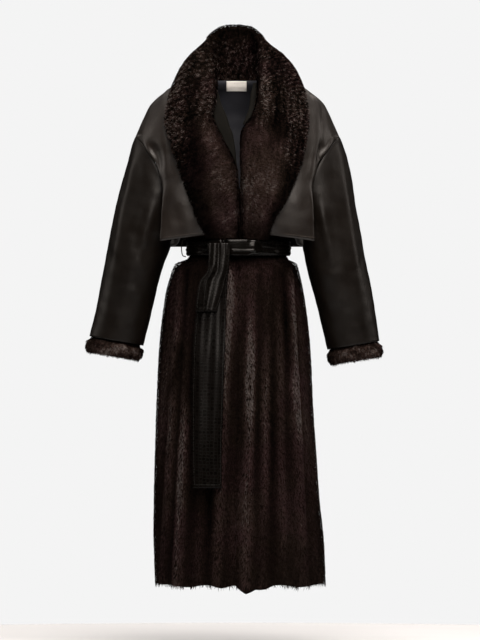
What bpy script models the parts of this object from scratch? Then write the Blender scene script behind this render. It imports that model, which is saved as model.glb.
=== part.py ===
"""Long faux fur coat with a cropped leather layer and sleeves over it, tied with a sash belt.

Metres, +Z up. The front faces -Y. The origin is on the centre line at the height of the back neck
seam, where the wearer's neck and shoulders hold the coat. Left and right are as seen in front of it.
"""
import math

import bpy
import bmesh
from mathutils import Vector
from mathutils.bvhtree import BVHTree

# Driving sizes.
SEAM = 0.0003
FUR = 0.010
COLLAR_FUR = 0.009
CUFF_FUR = 0.009
LEATHER = 0.002
SATIN = 0.0015
FOLD_TOP = -0.447
FOLD_RISE = 16
HEM = -1.262
UNDERARM = -0.378
LINING_DEPTH = 0.30
LABEL = (0.050, 0.025, 0.0008)
LABEL_TOP = -0.0025
LABEL_GAP = 0.0005
LINING_GAP = 0.0012
LINING_INSET = 5
LABEL_SHIFT = -0.0025
QUARTER = math.pi / 2

# The fur body, level by level: half width, depth in front of and behind the side seams,
# sideways shift, and squareness, where 2 is an ellipse.
BODY = (
    # height, width, front, back, shift, squareness
    (0.000, 0.078, 0.062, 0.076, 0.000, 2.0),
    (-0.014, 0.084, 0.068, 0.080, 0.000, 1.9),
    (-0.030, 0.146, 0.076, 0.088, 0.000, 1.8),
    (-0.056, 0.188, 0.084, 0.098, 0.000, 1.8),
    (-0.080, 0.207, 0.094, 0.106, 0.000, 1.9),
    (-0.120, 0.226, 0.102, 0.114, 0.000, 2.0),
    (-0.200, 0.212, 0.112, 0.120, 0.000, 2.1),
    (-0.300, 0.184, 0.112, 0.118, 0.000, 2.2),
    (-0.378, 0.147, 0.100, 0.108, 0.000, 2.2),
    (-0.402, 0.1245, 0.088, 0.099, 0.002, 2.2),
    (-0.447, 0.1245, 0.089, 0.100, 0.001, 2.2),
    (-0.459, 0.148, 0.106, 0.116, -0.003, 2.2),
    (-0.477, 0.158, 0.112, 0.124, -0.005, 2.2),
    (-0.552, 0.176, 0.125, 0.140, -0.007, 2.3),
    (-0.677, 0.190, 0.138, 0.152, -0.007, 2.3),
    (-0.802, 0.196, 0.146, 0.158, -0.007, 2.3),
    (-0.927, 0.202, 0.154, 0.163, -0.005, 2.3),
    (-1.052, 0.208, 0.160, 0.168, -0.002, 2.3),
    (-1.177, 0.214, 0.166, 0.174, 0.004, 2.3),
    (-1.262, 0.214, 0.168, 0.176, 0.007, 2.3),
)
BODY_LEVELS = (0.0, -0.014, -0.030, -0.056, -0.120, -0.165, -0.225, -0.290, -0.345, UNDERARM,
               -0.402, -0.447, -0.461, -0.510, -0.600, -0.730, -0.880, -1.040, -1.170, HEM)

# Half width of the fur body at the edge of its armhole.
BODY_ARMHOLE = (
    # height, half width
    (-0.120, 0.226),
    (-0.165, 0.203),
    (-0.225, 0.178),
    (-0.290, 0.158),
    (-0.345, 0.149),
    (-0.378, 0.147),
)

# Front edges of the fur body. The right front laps over the left one from the waist down.
FRONT_EDGES = (
    # height, left front, right front
    (0.000, -0.070, 0.070),
    (-0.050, -0.068, 0.066),
    (-0.090, -0.072, 0.050),
    (-0.130, -0.060, 0.026),
    (-0.177, -0.036, 0.012),
    (-0.227, -0.018, 0.008),
    (-0.300, 0.020, 0.006),
    (-0.360, 0.060, 0.006),
    (-0.425, 0.075, 0.006),
    (-1.262, 0.075, -0.003),
)
LAP_START = -0.230
LAP_RUN = 0.036
LAP_FULL = 0.008
LAP_GAP = 0.006
LAP_GROWTH = 0.05
FRONT_LEFT_COLUMNS = 26
FRONT_RIGHT_COLUMNS = 20
BACK_COLUMNS = 38

# Folds of the skirt: soft ridges that grow out of the gathers at the belt.
FRONT_FOLDS = (
    # x at the waist, x at the hem, height at the waist, height at the hem, half width at both
    (-0.138, -0.186, 0.006, 0.011, 0.016, 0.026),
    (-0.112, -0.150, 0.008, 0.013, 0.014, 0.024),
    (-0.062, -0.098, 0.004, 0.007, 0.016, 0.024),
    (-0.019, -0.054, 0.008, 0.013, 0.015, 0.022),
    (0.038, 0.020, 0.008, 0.014, 0.015, 0.021),
    (0.074, 0.062, 0.008, 0.012, 0.013, 0.018),
    (0.101, 0.112, 0.007, 0.008, 0.012, 0.020),
    (0.130, 0.164, 0.007, 0.013, 0.014, 0.026),
)
BACK_FOLDS = (
    (-0.126, -0.170, 0.007, 0.013, 0.015, 0.026),
    (-0.084, -0.112, 0.008, 0.014, 0.015, 0.025),
    (-0.042, -0.052, 0.007, 0.011, 0.015, 0.024),
    (0.004, 0.010, 0.009, 0.015, 0.016, 0.026),
    (0.046, 0.066, 0.007, 0.012, 0.015, 0.024),
    (0.086, 0.120, 0.008, 0.014, 0.015, 0.025),
    (0.128, 0.176, 0.007, 0.012, 0.015, 0.026),
)
# How far the hem of the skirt hangs below its level, at places along the front.
HEM_DROPS = (
    # x, drop, half width
    (-0.130, 0.006, 0.050),
    (-0.040, 0.008, 0.034),
    (0.022, 0.022, 0.034),
    (0.062, 0.012, 0.036),
    (0.160, 0.006, 0.050),
)
HEM_DROP_REACH = 0.12

# The leather front, level by level: points from its edge under the lapel to the turn at its side.
# Widths run from the centre line, depths to the front.
LEATHER_FRONT = (
    # height, edge x, y, middle x, y, corner x, y, turn x, y
    (-0.002, 0.0840, 0.006, 0.0845, 0.0045, 0.0850, 0.003, 0.0855, 0.0015),
    (-0.013, 0.084, 0.060, 0.112, 0.052, 0.136, 0.034, 0.150, 0.017),
    (-0.037, 0.086, 0.080, 0.130, 0.068, 0.165, 0.045, 0.183, 0.022),
    (-0.063, 0.088, 0.095, 0.135, 0.084, 0.180, 0.060, 0.207, 0.030),
    (-0.100, 0.088, 0.108, 0.140, 0.099, 0.192, 0.076, 0.223, 0.042),
    (-0.141, 0.080, 0.118, 0.140, 0.111, 0.195, 0.090, 0.234, 0.055),
    (-0.200, 0.060, 0.130, 0.130, 0.125, 0.178, 0.108, 0.200, 0.090),
    (-0.245, 0.048, 0.136, 0.125, 0.134, 0.175, 0.120, 0.192, 0.103),
    (-0.300, 0.045, 0.140, 0.125, 0.139, 0.184, 0.125, 0.180, 0.100),
    (-0.348, 0.050, 0.132, 0.128, 0.136, 0.190, 0.123, 0.163, 0.082),
    (-0.400, 0.062, 0.112, 0.128, 0.130, 0.193, 0.117, 0.152, 0.064),
)
# The leather back, the same way, from the centre line. Depths run to the back.
LEATHER_BACK = (
    (-0.002, 0.000, 0.081, 0.045, 0.070, 0.072, 0.045, 0.083, 0.022),
    (-0.013, 0.000, 0.100, 0.070, 0.090, 0.120, 0.062, 0.148, 0.030),
    (-0.037, 0.000, 0.116, 0.085, 0.106, 0.148, 0.074, 0.180, 0.037),
    (-0.063, 0.000, 0.126, 0.095, 0.115, 0.165, 0.083, 0.203, 0.043),
    (-0.100, 0.000, 0.137, 0.105, 0.127, 0.180, 0.094, 0.220, 0.052),
    (-0.141, 0.000, 0.146, 0.110, 0.136, 0.190, 0.103, 0.233, 0.062),
    (-0.200, 0.000, 0.150, 0.110, 0.141, 0.175, 0.113, 0.200, 0.092),
    (-0.245, 0.000, 0.151, 0.110, 0.144, 0.172, 0.120, 0.190, 0.103),
    (-0.300, 0.000, 0.150, 0.110, 0.145, 0.182, 0.124, 0.176, 0.102),
    (-0.348, 0.000, 0.148, 0.112, 0.144, 0.187, 0.122, 0.159, 0.083),
    (-0.400, 0.000, 0.144, 0.115, 0.141, 0.189, 0.117, 0.152, 0.064),
)
# The shoulder line of the leather, from the neck to the dropped shoulder point.
SHOULDER = (
    # height, half width
    (-0.002, 0.086),
    (-0.013, 0.158),
    (-0.022, 0.172),
    (-0.037, 0.192),
    (-0.050, 0.207),
    (-0.063, 0.219),
    (-0.082, 0.229),
    (-0.113, 0.243),
    (-0.142, 0.256),
)
SHOULDER_LEVELS = (-0.002, -0.013, -0.037, -0.072, -0.107)
SIDE_SEAM = (0.145, -0.400)
FRONT_STEPS = (2, 2, 3, 2)
BACK_STEPS = (2, 2, 2, 2)
LEATHER_HEM_RISE = 0.019
LEATHER_HEM_DROP = 0.005
LEATHER_CORNER = 0.19
# The back hem hangs lower than the side seams, in full from this depth on.
LEATHER_BACK_DROP = 0.018
LEATHER_BACK_DEPTH = 0.10
LEATHER_SEAM = 0.0006

# Sleeves, ring by ring: the outer and inner point of each ring, its half depth, and how far the
# armhole bows towards the body. Half widths run from the centre line.
SLEEVES = {
    "left": (
        # outer x, z, inner x, z, half depth, bow
        (0.256, -0.142, 0.163, -0.365, 0.085, 0.022),
        (0.266, -0.172, 0.164, -0.384, 0.085, 0.016),
        (0.278, -0.215, 0.165, -0.402, 0.084, 0.010),
        (0.291, -0.262, 0.168, -0.420, 0.083, 0.004),
        (0.305, -0.315, 0.178, -0.446, 0.081, 0.000),
        (0.318, -0.378, 0.191, -0.482, 0.078, 0.000),
        (0.329, -0.440, 0.199, -0.515, 0.074, 0.000),
        (0.345, -0.527, 0.212, -0.570, 0.067, 0.000),
        (0.358, -0.592, 0.225, -0.622, 0.061, 0.000),
        (0.371, -0.643, 0.236, -0.667, 0.056, 0.000),
    ),
    "right": (
        (0.256, -0.142, 0.163, -0.365, 0.085, 0.022),
        (0.267, -0.172, 0.164, -0.384, 0.085, 0.016),
        (0.278, -0.215, 0.164, -0.402, 0.084, 0.010),
        (0.289, -0.265, 0.163, -0.420, 0.083, 0.004),
        (0.297, -0.320, 0.167, -0.442, 0.081, 0.000),
        (0.310, -0.390, 0.176, -0.482, 0.078, 0.000),
        (0.320, -0.445, 0.185, -0.516, 0.074, 0.000),
        (0.336, -0.527, 0.200, -0.571, 0.067, 0.000),
        (0.347, -0.592, 0.213, -0.625, 0.061, 0.000),
        (0.356, -0.655, 0.225, -0.677, 0.056, 0.000),
    ),
}
SLEEVE_SIDES = 18
# The fur cuff, from its top inside the sleeve to its lower edge.
CUFF = (
    # run past the sleeve's end, distance out from the sleeve's face
    (-0.0240, -0.0032),
    (0.0015, -0.0032),
    (0.0090, 0.0015),
    (0.0240, 0.0040),
    (0.0340, 0.0010),
)

# The shawl collar, station by station from the back seam to the waist: the seam that it grows
# from, the roll where it turns over, and its outer edge. Bend is the radius of the roll,
# puff how far the fall stands out, fold how deep a groove runs along it.
COLLARS = {
    "left": (
        # seam x, y, z, roll x, y, z, edge x, y, z, bend, puff, fold
        (0.000, 0.064, 0.001, 0.000, 0.084, 0.141, 0.000, 0.150, -0.060, 0.015, 0.010, 0.000),
        (-0.030, 0.060, 0.001, -0.034, 0.076, 0.138, -0.070, 0.146, -0.062, 0.015, 0.011, 0.000),
        (-0.052, 0.046, 0.001, -0.058, 0.052, 0.121, -0.128, 0.110, -0.045, 0.015, 0.016, 0.000),
        (-0.064, 0.026, 0.001, -0.066, 0.024, 0.098, -0.150, 0.060, -0.016, 0.015, 0.016, 0.000),
        (-0.068, 0.002, 0.003, -0.064, -0.006, 0.074, -0.156, 0.000, -0.002, 0.014, 0.018, 0.002),
        (-0.068, -0.026, 0.003, -0.056, -0.036, 0.042, -0.161, -0.040, -0.028, 0.014, 0.017, 0.004),
        (-0.066, -0.056, -0.022, -0.050, -0.072, 0.002, -0.166, -0.060, -0.050, 0.014, 0.015, 0.006),
        (-0.072, -0.080, -0.066, -0.052, -0.100, -0.044, -0.169, -0.070, -0.080, 0.014, 0.013, 0.007),
        (-0.076, -0.090, -0.098, -0.060, -0.116, -0.090, -0.170, -0.080, -0.106, 0.014, 0.013, 0.008),
        (-0.066, -0.100, -0.130, -0.046, -0.128, -0.130, -0.168, -0.090, -0.134, 0.013, 0.012, 0.008),
        (-0.042, -0.108, -0.178, -0.020, -0.140, -0.178, -0.154, -0.110, -0.178, 0.013, 0.012, 0.008),
        (-0.024, -0.112, -0.228, 0.000, -0.146, -0.228, -0.140, -0.125, -0.228, 0.013, 0.012, 0.008),
        (-0.022, -0.112, -0.300, 0.003, -0.142, -0.300, -0.115, -0.135, -0.300, 0.013, 0.011, 0.007),
        (-0.022, -0.104, -0.352, 0.004, -0.132, -0.352, -0.098, -0.135, -0.352, 0.012, 0.010, 0.005),
        (-0.022, -0.096, -0.396, 0.004, -0.116, -0.396, -0.080, -0.118, -0.396, 0.0105, 0.005, 0.003),
    ),
    "right": (
        (0.000, 0.064, 0.001, 0.000, 0.084, 0.141, 0.000, 0.150, -0.060, 0.015, 0.010, 0.000),
        (0.030, 0.060, 0.001, 0.032, 0.076, 0.136, 0.070, 0.146, -0.062, 0.015, 0.011, 0.000),
        (0.052, 0.046, 0.001, 0.050, 0.052, 0.118, 0.126, 0.110, -0.045, 0.015, 0.016, 0.000),
        (0.064, 0.026, 0.001, 0.057, 0.024, 0.098, 0.150, 0.060, -0.016, 0.015, 0.016, 0.000),
        (0.068, 0.002, 0.003, 0.056, -0.006, 0.074, 0.157, 0.000, -0.002, 0.014, 0.021, 0.004),
        (0.068, -0.026, 0.003, 0.051, -0.036, 0.042, 0.161, -0.040, -0.028, 0.014, 0.018, 0.008),
        (0.066, -0.056, -0.022, 0.048, -0.072, 0.002, 0.165, -0.060, -0.050, 0.014, 0.017, 0.010),
        (0.070, -0.080, -0.066, 0.047, -0.100, -0.044, 0.167, -0.070, -0.080, 0.014, 0.015, 0.012),
        (0.058, -0.090, -0.096, 0.036, -0.118, -0.088, 0.168, -0.080, -0.106, 0.014, 0.013, 0.012),
        (0.034, -0.100, -0.130, 0.010, -0.130, -0.128, 0.166, -0.090, -0.134, 0.013, 0.012, 0.011),
        (0.030, -0.108, -0.178, 0.006, -0.140, -0.178, 0.160, -0.110, -0.178, 0.013, 0.012, 0.008),
        (0.032, -0.112, -0.228, 0.007, -0.146, -0.228, 0.149, -0.125, -0.228, 0.013, 0.012, 0.005),
        (0.034, -0.112, -0.300, 0.009, -0.142, -0.300, 0.120, -0.135, -0.300, 0.013, 0.011, 0.004),
        (0.034, -0.104, -0.352, 0.010, -0.132, -0.352, 0.090, -0.135, -0.352, 0.012, 0.010, 0.003),
        (0.034, -0.096, -0.396, 0.010, -0.116, -0.396, 0.074, -0.118, -0.396, 0.0105, 0.005, 0.002),
    ),
}
# How far down the fall its points lie, and the share of the puff that each one stands out.
COLLAR_FALL = ((0.20, 0.75), (0.42, 1.0), (0.66, 0.8), (0.86, 0.4))
COLLAR_FOLD_AT = (7, 8, 9)
COLLAR_FOLD_DEPTH = (0.3, 1.0, 0.4)
COLLAR_LIFT = 0.004
COLLAR_CLEAR = 0.006
NECK_TOP = -0.005
OUTWARD_RISE = 0.02
TOUCHING = 0.0005

# Belt round the waist: its ring, and its soft lengthwise folds from top to bottom.
BELT_RING = (0.1275, 0.109, 0.106, 0.0025, 2.2)
BELT_TOP = -0.402
BELT_HEIGHT = 0.040
BELT_WALL = 0.002
BELT_FOLDS = (0.0000, 0.0034, 0.0022, 0.0044, 0.0026, 0.0034, 0.0000)
BELT_COLUMNS = 36

# The knot, section by section along the waist.
KNOT = (
    # x, top z, bottom z, thickness
    (-0.076, -0.408, -0.436, 0.004),
    (-0.066, -0.404, -0.439, 0.011),
    (-0.040, -0.402, -0.440, 0.014),
    (-0.012, -0.402, -0.440, 0.014),
    (0.016, -0.402, -0.441, 0.012),
    (0.044, -0.401, -0.440, 0.009),
    (0.062, -0.402, -0.434, 0.003),
)
KNOT_BACK = 0.117
KNOT_CURVE = 1.6
KNOT_SIDES = 14
KNOT_PLEAT = 0.10
KNOT_FULLNESS = 0.7

# The two ends of the belt that hang from the knot.
BELT_ENDS = {
    "belt_short_end": (
        # height, left x, right x, depth to the front
        (-0.410, -0.070, -0.020, 0.139),
        (-0.430, -0.071, -0.019, 0.142),
        (-0.450, -0.072, -0.020, 0.143),
        (-0.477, -0.074, -0.023, 0.145),
        (-0.505, -0.093, -0.030, 0.149),
        (-0.530, -0.099, -0.036, 0.154),
        (-0.556, -0.102, -0.044, 0.158),
        (-0.581, -0.104, -0.052, 0.161),
    ),
    "belt_long_end": (
        (-0.443, -0.068, -0.022, 0.125),
        (-0.470, -0.070, -0.021, 0.131),
        (-0.510, -0.084, -0.025, 0.138),
        (-0.560, -0.098, -0.027, 0.146),
        (-0.620, -0.106, -0.029, 0.153),
        (-0.700, -0.111, -0.032, 0.162),
        (-0.800, -0.113, -0.035, 0.169),
        (-0.900, -0.113, -0.038, 0.176),
        (-0.970, -0.112, -0.039, 0.180),
        (-1.020, -0.111, -0.039, 0.182),
    ),
}
END_WALL = 0.0025
END_WAVE = 0.0015
END_CURVE = 0.002
END_COLUMNS = 6

# Facing strips beside the lapels' inner edges: how far each shows past the fur.
FACINGS = {
    "left": (
        # height, x where it shows last, x at the lapel, depth to the front
        (-0.030, -0.050, -0.058, 0.066),
        (-0.065, -0.040, -0.056, 0.080),
        (-0.090, -0.030, -0.056, 0.090),
        (-0.115, -0.022, -0.050, 0.098),
        (-0.140, -0.013, -0.036, 0.104),
        (-0.180, -0.006, -0.020, 0.112),
        (-0.225, -0.001, -0.010, 0.119),
    ),
    "right": (
        (-0.010, 0.040, 0.056, 0.050),
        (-0.040, 0.034, 0.050, 0.066),
        (-0.070, 0.030, 0.044, 0.080),
        (-0.095, 0.022, 0.034, 0.092),
        (-0.115, 0.014, 0.024, 0.100),
    ),
}
FACING_WALL = 0.0015
FACING_RETURN = 0.016
FACING_BEND = 0.002

LOOP_RADIUS = 0.001
LOOP_STAND = 0.004
LOOP_SHOULDER = 0.0028
LOOP_REACH = 0.002
LOOP_BACK = 0.002

SIGN = {"left": -1, "right": 1}

# Small steps for the slope of the body's surface.
PROBE_TURN = 0.01
PROBE_STEP = 0.004


def between(table, height):
    """A row of a table at any height between its rows, smooth and without overshoot."""
    rows = sorted(table, key=lambda row: row[0])
    low = 0
    while low < len(rows) - 2 and rows[low + 1][0] < height:
        low += 1
    first, last = rows[low], rows[low + 1]
    span = last[0] - first[0]
    t = min(max((height - first[0]) / span, 0), 1)

    def tangent(index, column):
        if index == 0 or index == len(rows) - 1:
            return 0
        before, here, after = rows[index - 1], rows[index], rows[index + 1]
        left = (here[column] - before[column]) / (here[0] - before[0])
        right = (after[column] - here[column]) / (after[0] - here[0])
        return 2 * left * right / (left + right) if left * right > 0 else 0

    values = []
    for column in range(1, len(first)):
        a, b = first[column], last[column]
        if len(rows) == 2:
            values.append(a + (b - a) * t)
            continue
        start, end = tangent(low, column) * span, tangent(low + 1, column) * span
        if low == 0:
            start = b - a
        if low == len(rows) - 2:
            end = b - a
        values.append(a * (2 * t**3 - 3 * t**2 + 1) + start * (t**3 - 2 * t**2 + t)
                      + b * (3 * t**2 - 2 * t**3) + end * (t**3 - t**2))
    return values


def spline(points, steps):
    """A smooth curve through the given points, with this many steps from each point to the next."""
    points = [Vector(p) for p in points]
    through = [2 * points[0] - points[1]] + points + [2 * points[-1] - points[-2]]
    curve = []
    for i, count in enumerate(steps):
        p0, p1, p2, p3 = through[i:i + 4]
        for k in range(count):
            t = k / count
            curve.append(0.5 * (2 * p1 + (p2 - p0) * t + (2 * p0 - 5 * p1 + 4 * p2 - p3) * t**2
                                + (3 * p1 - p0 - 3 * p2 + p3) * t**3))
    return curve + [points[-1]]


def smooth_step(t):
    t = min(max(t, 0), 1)
    return t * t * (3 - 2 * t)


def bump(distance):
    return math.cos(QUARTER * distance)**2 if abs(distance) < 1 else 0


def normals(grid, around):
    """The direction out of a grid of points at each of them."""
    rows, columns = len(grid), len(grid[0])
    result = []
    for i in range(rows):
        line = []
        for j in range(columns):
            up, down = grid[max(i - 1, 0)][j], grid[min(i + 1, rows - 1)][j]
            if around:
                before, after = grid[i][j - 1], grid[i][(j + 1) % columns]
            else:
                before, after = grid[i][max(j - 1, 0)], grid[i][min(j + 1, columns - 1)]
            line.append((down - up).cross(after - before).normalized())
        result.append(line)
    return result


def moved(grid, directions, distance):
    return [[p + d * distance for p, d in zip(row, line)] for row, line in zip(grid, directions)]


def finish(name, points, faces, material):
    """A closed solid from points and faces, with its faces turned out."""
    mesh = bpy.data.meshes.new(name)
    mesh.from_pydata([tuple(p) for p in points], [], faces)
    work = bmesh.new()
    work.from_mesh(mesh)
    bmesh.ops.recalc_face_normals(work, faces=work.faces)
    if work.calc_volume(signed=True) < 0:
        bmesh.ops.reverse_faces(work, faces=work.faces)
    work.to_mesh(mesh)
    work.free()
    mesh.shade_smooth()
    mesh.materials.append(material)
    piece = bpy.data.objects.new(name, mesh)
    bpy.context.collection.objects.link(piece)
    return piece


def wall(name, outer, inner, around, material, turn_at=None):
    """A sheet with thickness between two grids of points, open or closed around.

    Its squares are cut into triangles along one diagonal, and along the other one from a column on.
    """
    rows, columns = len(outer), len(outer[0])
    points = [p for row in outer for p in row] + [p for row in inner for p in row]
    back = rows * columns
    spans = columns if around else columns - 1
    faces = []

    def add(a, b, c, d):
        faces.append((a, b, c))
        faces.append((a, c, d))

    for i in range(rows - 1):
        for j in range(spans):
            k = (j + 1) % columns
            a, b, c, d = i * columns + j, i * columns + k, (i + 1) * columns + k, (i + 1) * columns + j
            if turn_at is not None and j >= turn_at:
                a, b, c, d = b, c, d, a
            add(a, b, c, d)
            faces.append((back + c, back + b, back + a))
            faces.append((back + d, back + c, back + a))
    for j in range(spans):
        k = (j + 1) % columns
        low = (rows - 1) * columns
        add(j, back + j, back + k, k)
        add(low + k, back + low + k, back + low + j, low + j)
    if not around:
        for i in range(rows - 1):
            a, b = i * columns, (i + 1) * columns
            add(b, back + b, back + a, a)
            add(a + columns - 1, back + a + columns - 1, back + b + columns - 1, b + columns - 1)
    return finish(name, points, faces, material)


def bar(name, rings, material):
    """A capped solid through rings of points."""
    count = len(rings[0])
    points = [p for ring in rings for p in ring]
    faces = []
    for i in range(len(rings) - 1):
        for j in range(count):
            k = (j + 1) % count
            a, b, c, d = i * count + j, i * count + k, (i + 1) * count + k, (i + 1) * count + j
            faces.append((a, b, c))
            faces.append((a, c, d))
    faces.append(tuple(range(count)))
    last = (len(rings) - 1) * count
    faces.append(tuple(last + j for j in reversed(range(count))))
    return finish(name, points, faces, material)


def surface_of(grid, around=False):
    """A surface through a grid that can be asked for its nearest point."""
    columns = len(grid[0])
    spans = columns if around else columns - 1
    faces = []
    for i in range(len(grid) - 1):
        for j in range(spans):
            k = (j + 1) % columns
            faces.append((i * columns + j, i * columns + k, (i + 1) * columns + k,
                          (i + 1) * columns + j))
    return BVHTree.FromPolygons([p for row in grid for p in row], faces)


def material(name, colour, roughness):
    made = bpy.data.materials.new(name)
    made.use_nodes = True
    shader = made.node_tree.nodes["Principled BSDF"]
    shader.inputs["Base Color"].default_value = (*colour, 1)
    shader.inputs["Roughness"].default_value = roughness
    made.diffuse_color = (*colour, 1)
    return made


# The fur body.

def ring_point(width, front, back, shift, square, angle):
    """A point of a level ring. The angle runs from the front to the right."""
    s, c = math.sin(angle), math.cos(angle)
    reach = (abs(s)**square + abs(c)**square)**(-1 / square)
    depth = front if c > 0 else back
    return Vector((shift + width * s * reach, -depth * c * reach, 0))


def ring_angle(level, x):
    """The angle at the front of the body's ring where it passes x."""
    width, _, _, shift, square = level
    share = min(max((x - shift) / width, -1), 1)
    rest = max(1 - abs(share)**square, 0)**(1 / square)
    return math.atan2(share, rest)


def fold_height(level, height, angle):
    """How far the folds stand out from the body's ring."""
    drop = (height - FOLD_TOP) / (HEM - FOLD_TOP)
    if drop <= 0:
        return 0
    around = (level[0] + (level[1] + level[2]) / 2) / 2
    total = 0
    for folds, behind in ((FRONT_FOLDS, False), (BACK_FOLDS, True)):
        for x_top, x_hem, high_top, high_hem, wide_top, wide_hem in folds:
            at = ring_angle(level, x_top + (x_hem - x_top) * drop)
            at = math.pi - at if behind else at
            off = (angle - at + math.pi) % (2 * math.pi) - math.pi
            wide = wide_top + (wide_hem - wide_top) * drop
            high = high_top + (high_hem - high_top) * smooth_step(drop * 2)
            total += high * smooth_step(drop * FOLD_RISE) * bump(off * around / wide)
    return total


def body_point(height, angle):
    """A point of the fur body's outer face, and the direction out of it there."""
    level = between(BODY, height)
    here = ring_point(*level, angle) + Vector((0, 0, height))
    across = ring_point(*level, angle + PROBE_TURN) - ring_point(*level, angle - PROBE_TURN)
    below, above = height - PROBE_STEP, min(height + PROBE_STEP, 0)
    down = ring_point(*between(BODY, below), angle) - ring_point(*between(BODY, above), angle)
    down.z = below - above
    direction = down.cross(across).normalized()
    direction.z *= abs(math.sin(angle))
    direction.normalize()
    return here + direction * fold_height(level, height, angle), direction


def hem_drop(x):
    return sum(drop * bump((x - at) / wide) for at, drop, wide in HEM_DROPS)


def side_angle(height):
    """The angle of the fur body's side edge: the side seam, or the edge of the armhole."""
    if BODY_ARMHOLE[-1][0] < height < BODY_ARMHOLE[0][0]:
        return ring_angle(between(BODY, height), between(BODY_ARMHOLE, height)[0])
    return QUARTER


def body_panel(name, first_angle, last_angle, columns, tuck, fur):
    """A panel of the fur body between two angles that depend on the height."""
    outer, inner, out = [], [], []
    for height in BODY_LEVELS:
        level = between(BODY, height)
        first, last = first_angle(height, level), last_angle(height, level)
        outer_row, inner_row, out_row = [], [], []
        for j in range(columns + 1):
            angle = first + (last - first) * j / columns
            point, direction = body_point(height, angle)
            depth = tuck(height, point.x)
            drop = hem_drop(point.x) if point.y < 0 else 0
            down = Vector((0, 0, -drop * smooth_step((HEM + HEM_DROP_REACH - height) / HEM_DROP_REACH)))
            outer_row.append(point - direction * depth + down)
            inner_row.append(point - direction * (depth + FUR) + down)
            out_row.append(direction)
        outer.append(outer_row)
        inner.append(inner_row)
        out.append(out_row)
    for column in (0, -1):
        step = 1 if column == 0 else -1
        for row, line in zip(outer, inner):
            shift = (row[column + step] - row[column]).normalized() * (SEAM / 2)
            row[column] = row[column] + shift
            line[column] = line[column] + shift
    wall(name, outer, inner, False, fur)
    return outer, inner, out


def make_body(fur):
    """The fur body: two fronts that lap at the centre, and a back."""
    def lap(height, x):
        if height > LAP_START:
            return 0
        edge = between(FRONT_EDGES, height)[1]
        deep = smooth_step((LAP_START - height) / LAP_GROWTH) * (FUR + LAP_GAP)
        return deep * smooth_step((x - edge + LAP_RUN) / (LAP_RUN - LAP_FULL))

    def flat(height, x):
        return 0

    def left_edge(height, level):
        return ring_angle(level, between(FRONT_EDGES, height)[0])

    def right_edge(height, level):
        return ring_angle(level, between(FRONT_EDGES, height)[1])

    def left_side(height, level):
        return -side_angle(height)

    def right_side(height, level):
        return side_angle(height)

    def back_right_side(height, level):
        return 2 * QUARTER - side_angle(height)

    def back_left_side(height, level):
        return 2 * QUARTER + side_angle(height)

    left = body_panel("front_left", left_side, left_edge, FRONT_LEFT_COLUMNS, lap, fur)
    right = body_panel("front_right", right_edge, right_side, FRONT_RIGHT_COLUMNS, flat, fur)
    back = body_panel("back", back_right_side, back_left_side, BACK_COLUMNS, flat, fur)
    return {"left": left[0], "right": right[0]}, back


# The leather layer.

def sleeve_ring(row, side, out=0.0):
    """The points of one ring of a sleeve. They start at its top and run round by the front."""
    outer_x, outer_z, inner_x, inner_z, depth, bow = row
    sign = SIGN[side]
    outer = Vector((sign * outer_x, 0, outer_z))
    inner = Vector((sign * inner_x, 0, inner_z))
    centre = (outer + inner) / 2
    half = (outer - inner) / 2
    bow_way = Vector((-sign * half.z, 0, sign * half.x)).normalized()
    points = []
    for k in range(SLEEVE_SIDES):
        turn = 2 * math.pi * k / SLEEVE_SIDES
        points.append(centre + half * math.cos(turn) * (1 + out / half.length)
                      + Vector((0, -(depth + out) * math.sin(turn), 0))
                      + bow_way * bow * math.sin(turn)**2)
    return points


def leather_row(table, height, sign, face, end, steps):
    """A level row of a leather panel, from its first point to the given end."""
    values = between(table, height)
    points = [Vector((sign * values[k], face * values[k + 1], height)) for k in range(0, 8, 2)]
    return spline(points + [end], steps)


def armhole_rows(side, face):
    """Where a leather panel ends, from the neck down: shoulder line, armhole, side seam."""
    sign = SIGN[side]
    ends = [Vector((sign * between(SHOULDER, z)[0], 0, z)) for z in SHOULDER_LEVELS]
    ring = sleeve_ring(SLEEVES[side][0], side)
    half = SLEEVE_SIDES // 2
    ends += [ring[k if face < 0 else -k] for k in range(half + 1)]
    ends.append(Vector((sign * SIDE_SEAM[0], 0, SIDE_SEAM[1])))
    return ends


def shape_hem(row):
    """Lets the front hem rise towards the lapels and drop at the corners."""
    for point in row:
        reach = min(abs(point.x) / LEATHER_CORNER, 1)
        point.z += LEATHER_HEM_RISE * (1 - reach) - LEATHER_HEM_DROP * reach


def step_in(grid, i, edge):
    """The unit step from an edge of a piece into it, square to the edge."""
    step = grid[i][1] - grid[i][0] if edge == 0 else grid[i][-2] - grid[i][-1]
    along = (grid[min(i + 1, len(grid) - 1)][edge] - grid[max(i - 1, 0)][edge]).normalized()
    return (step - along * step.dot(along)).normalized()


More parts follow.
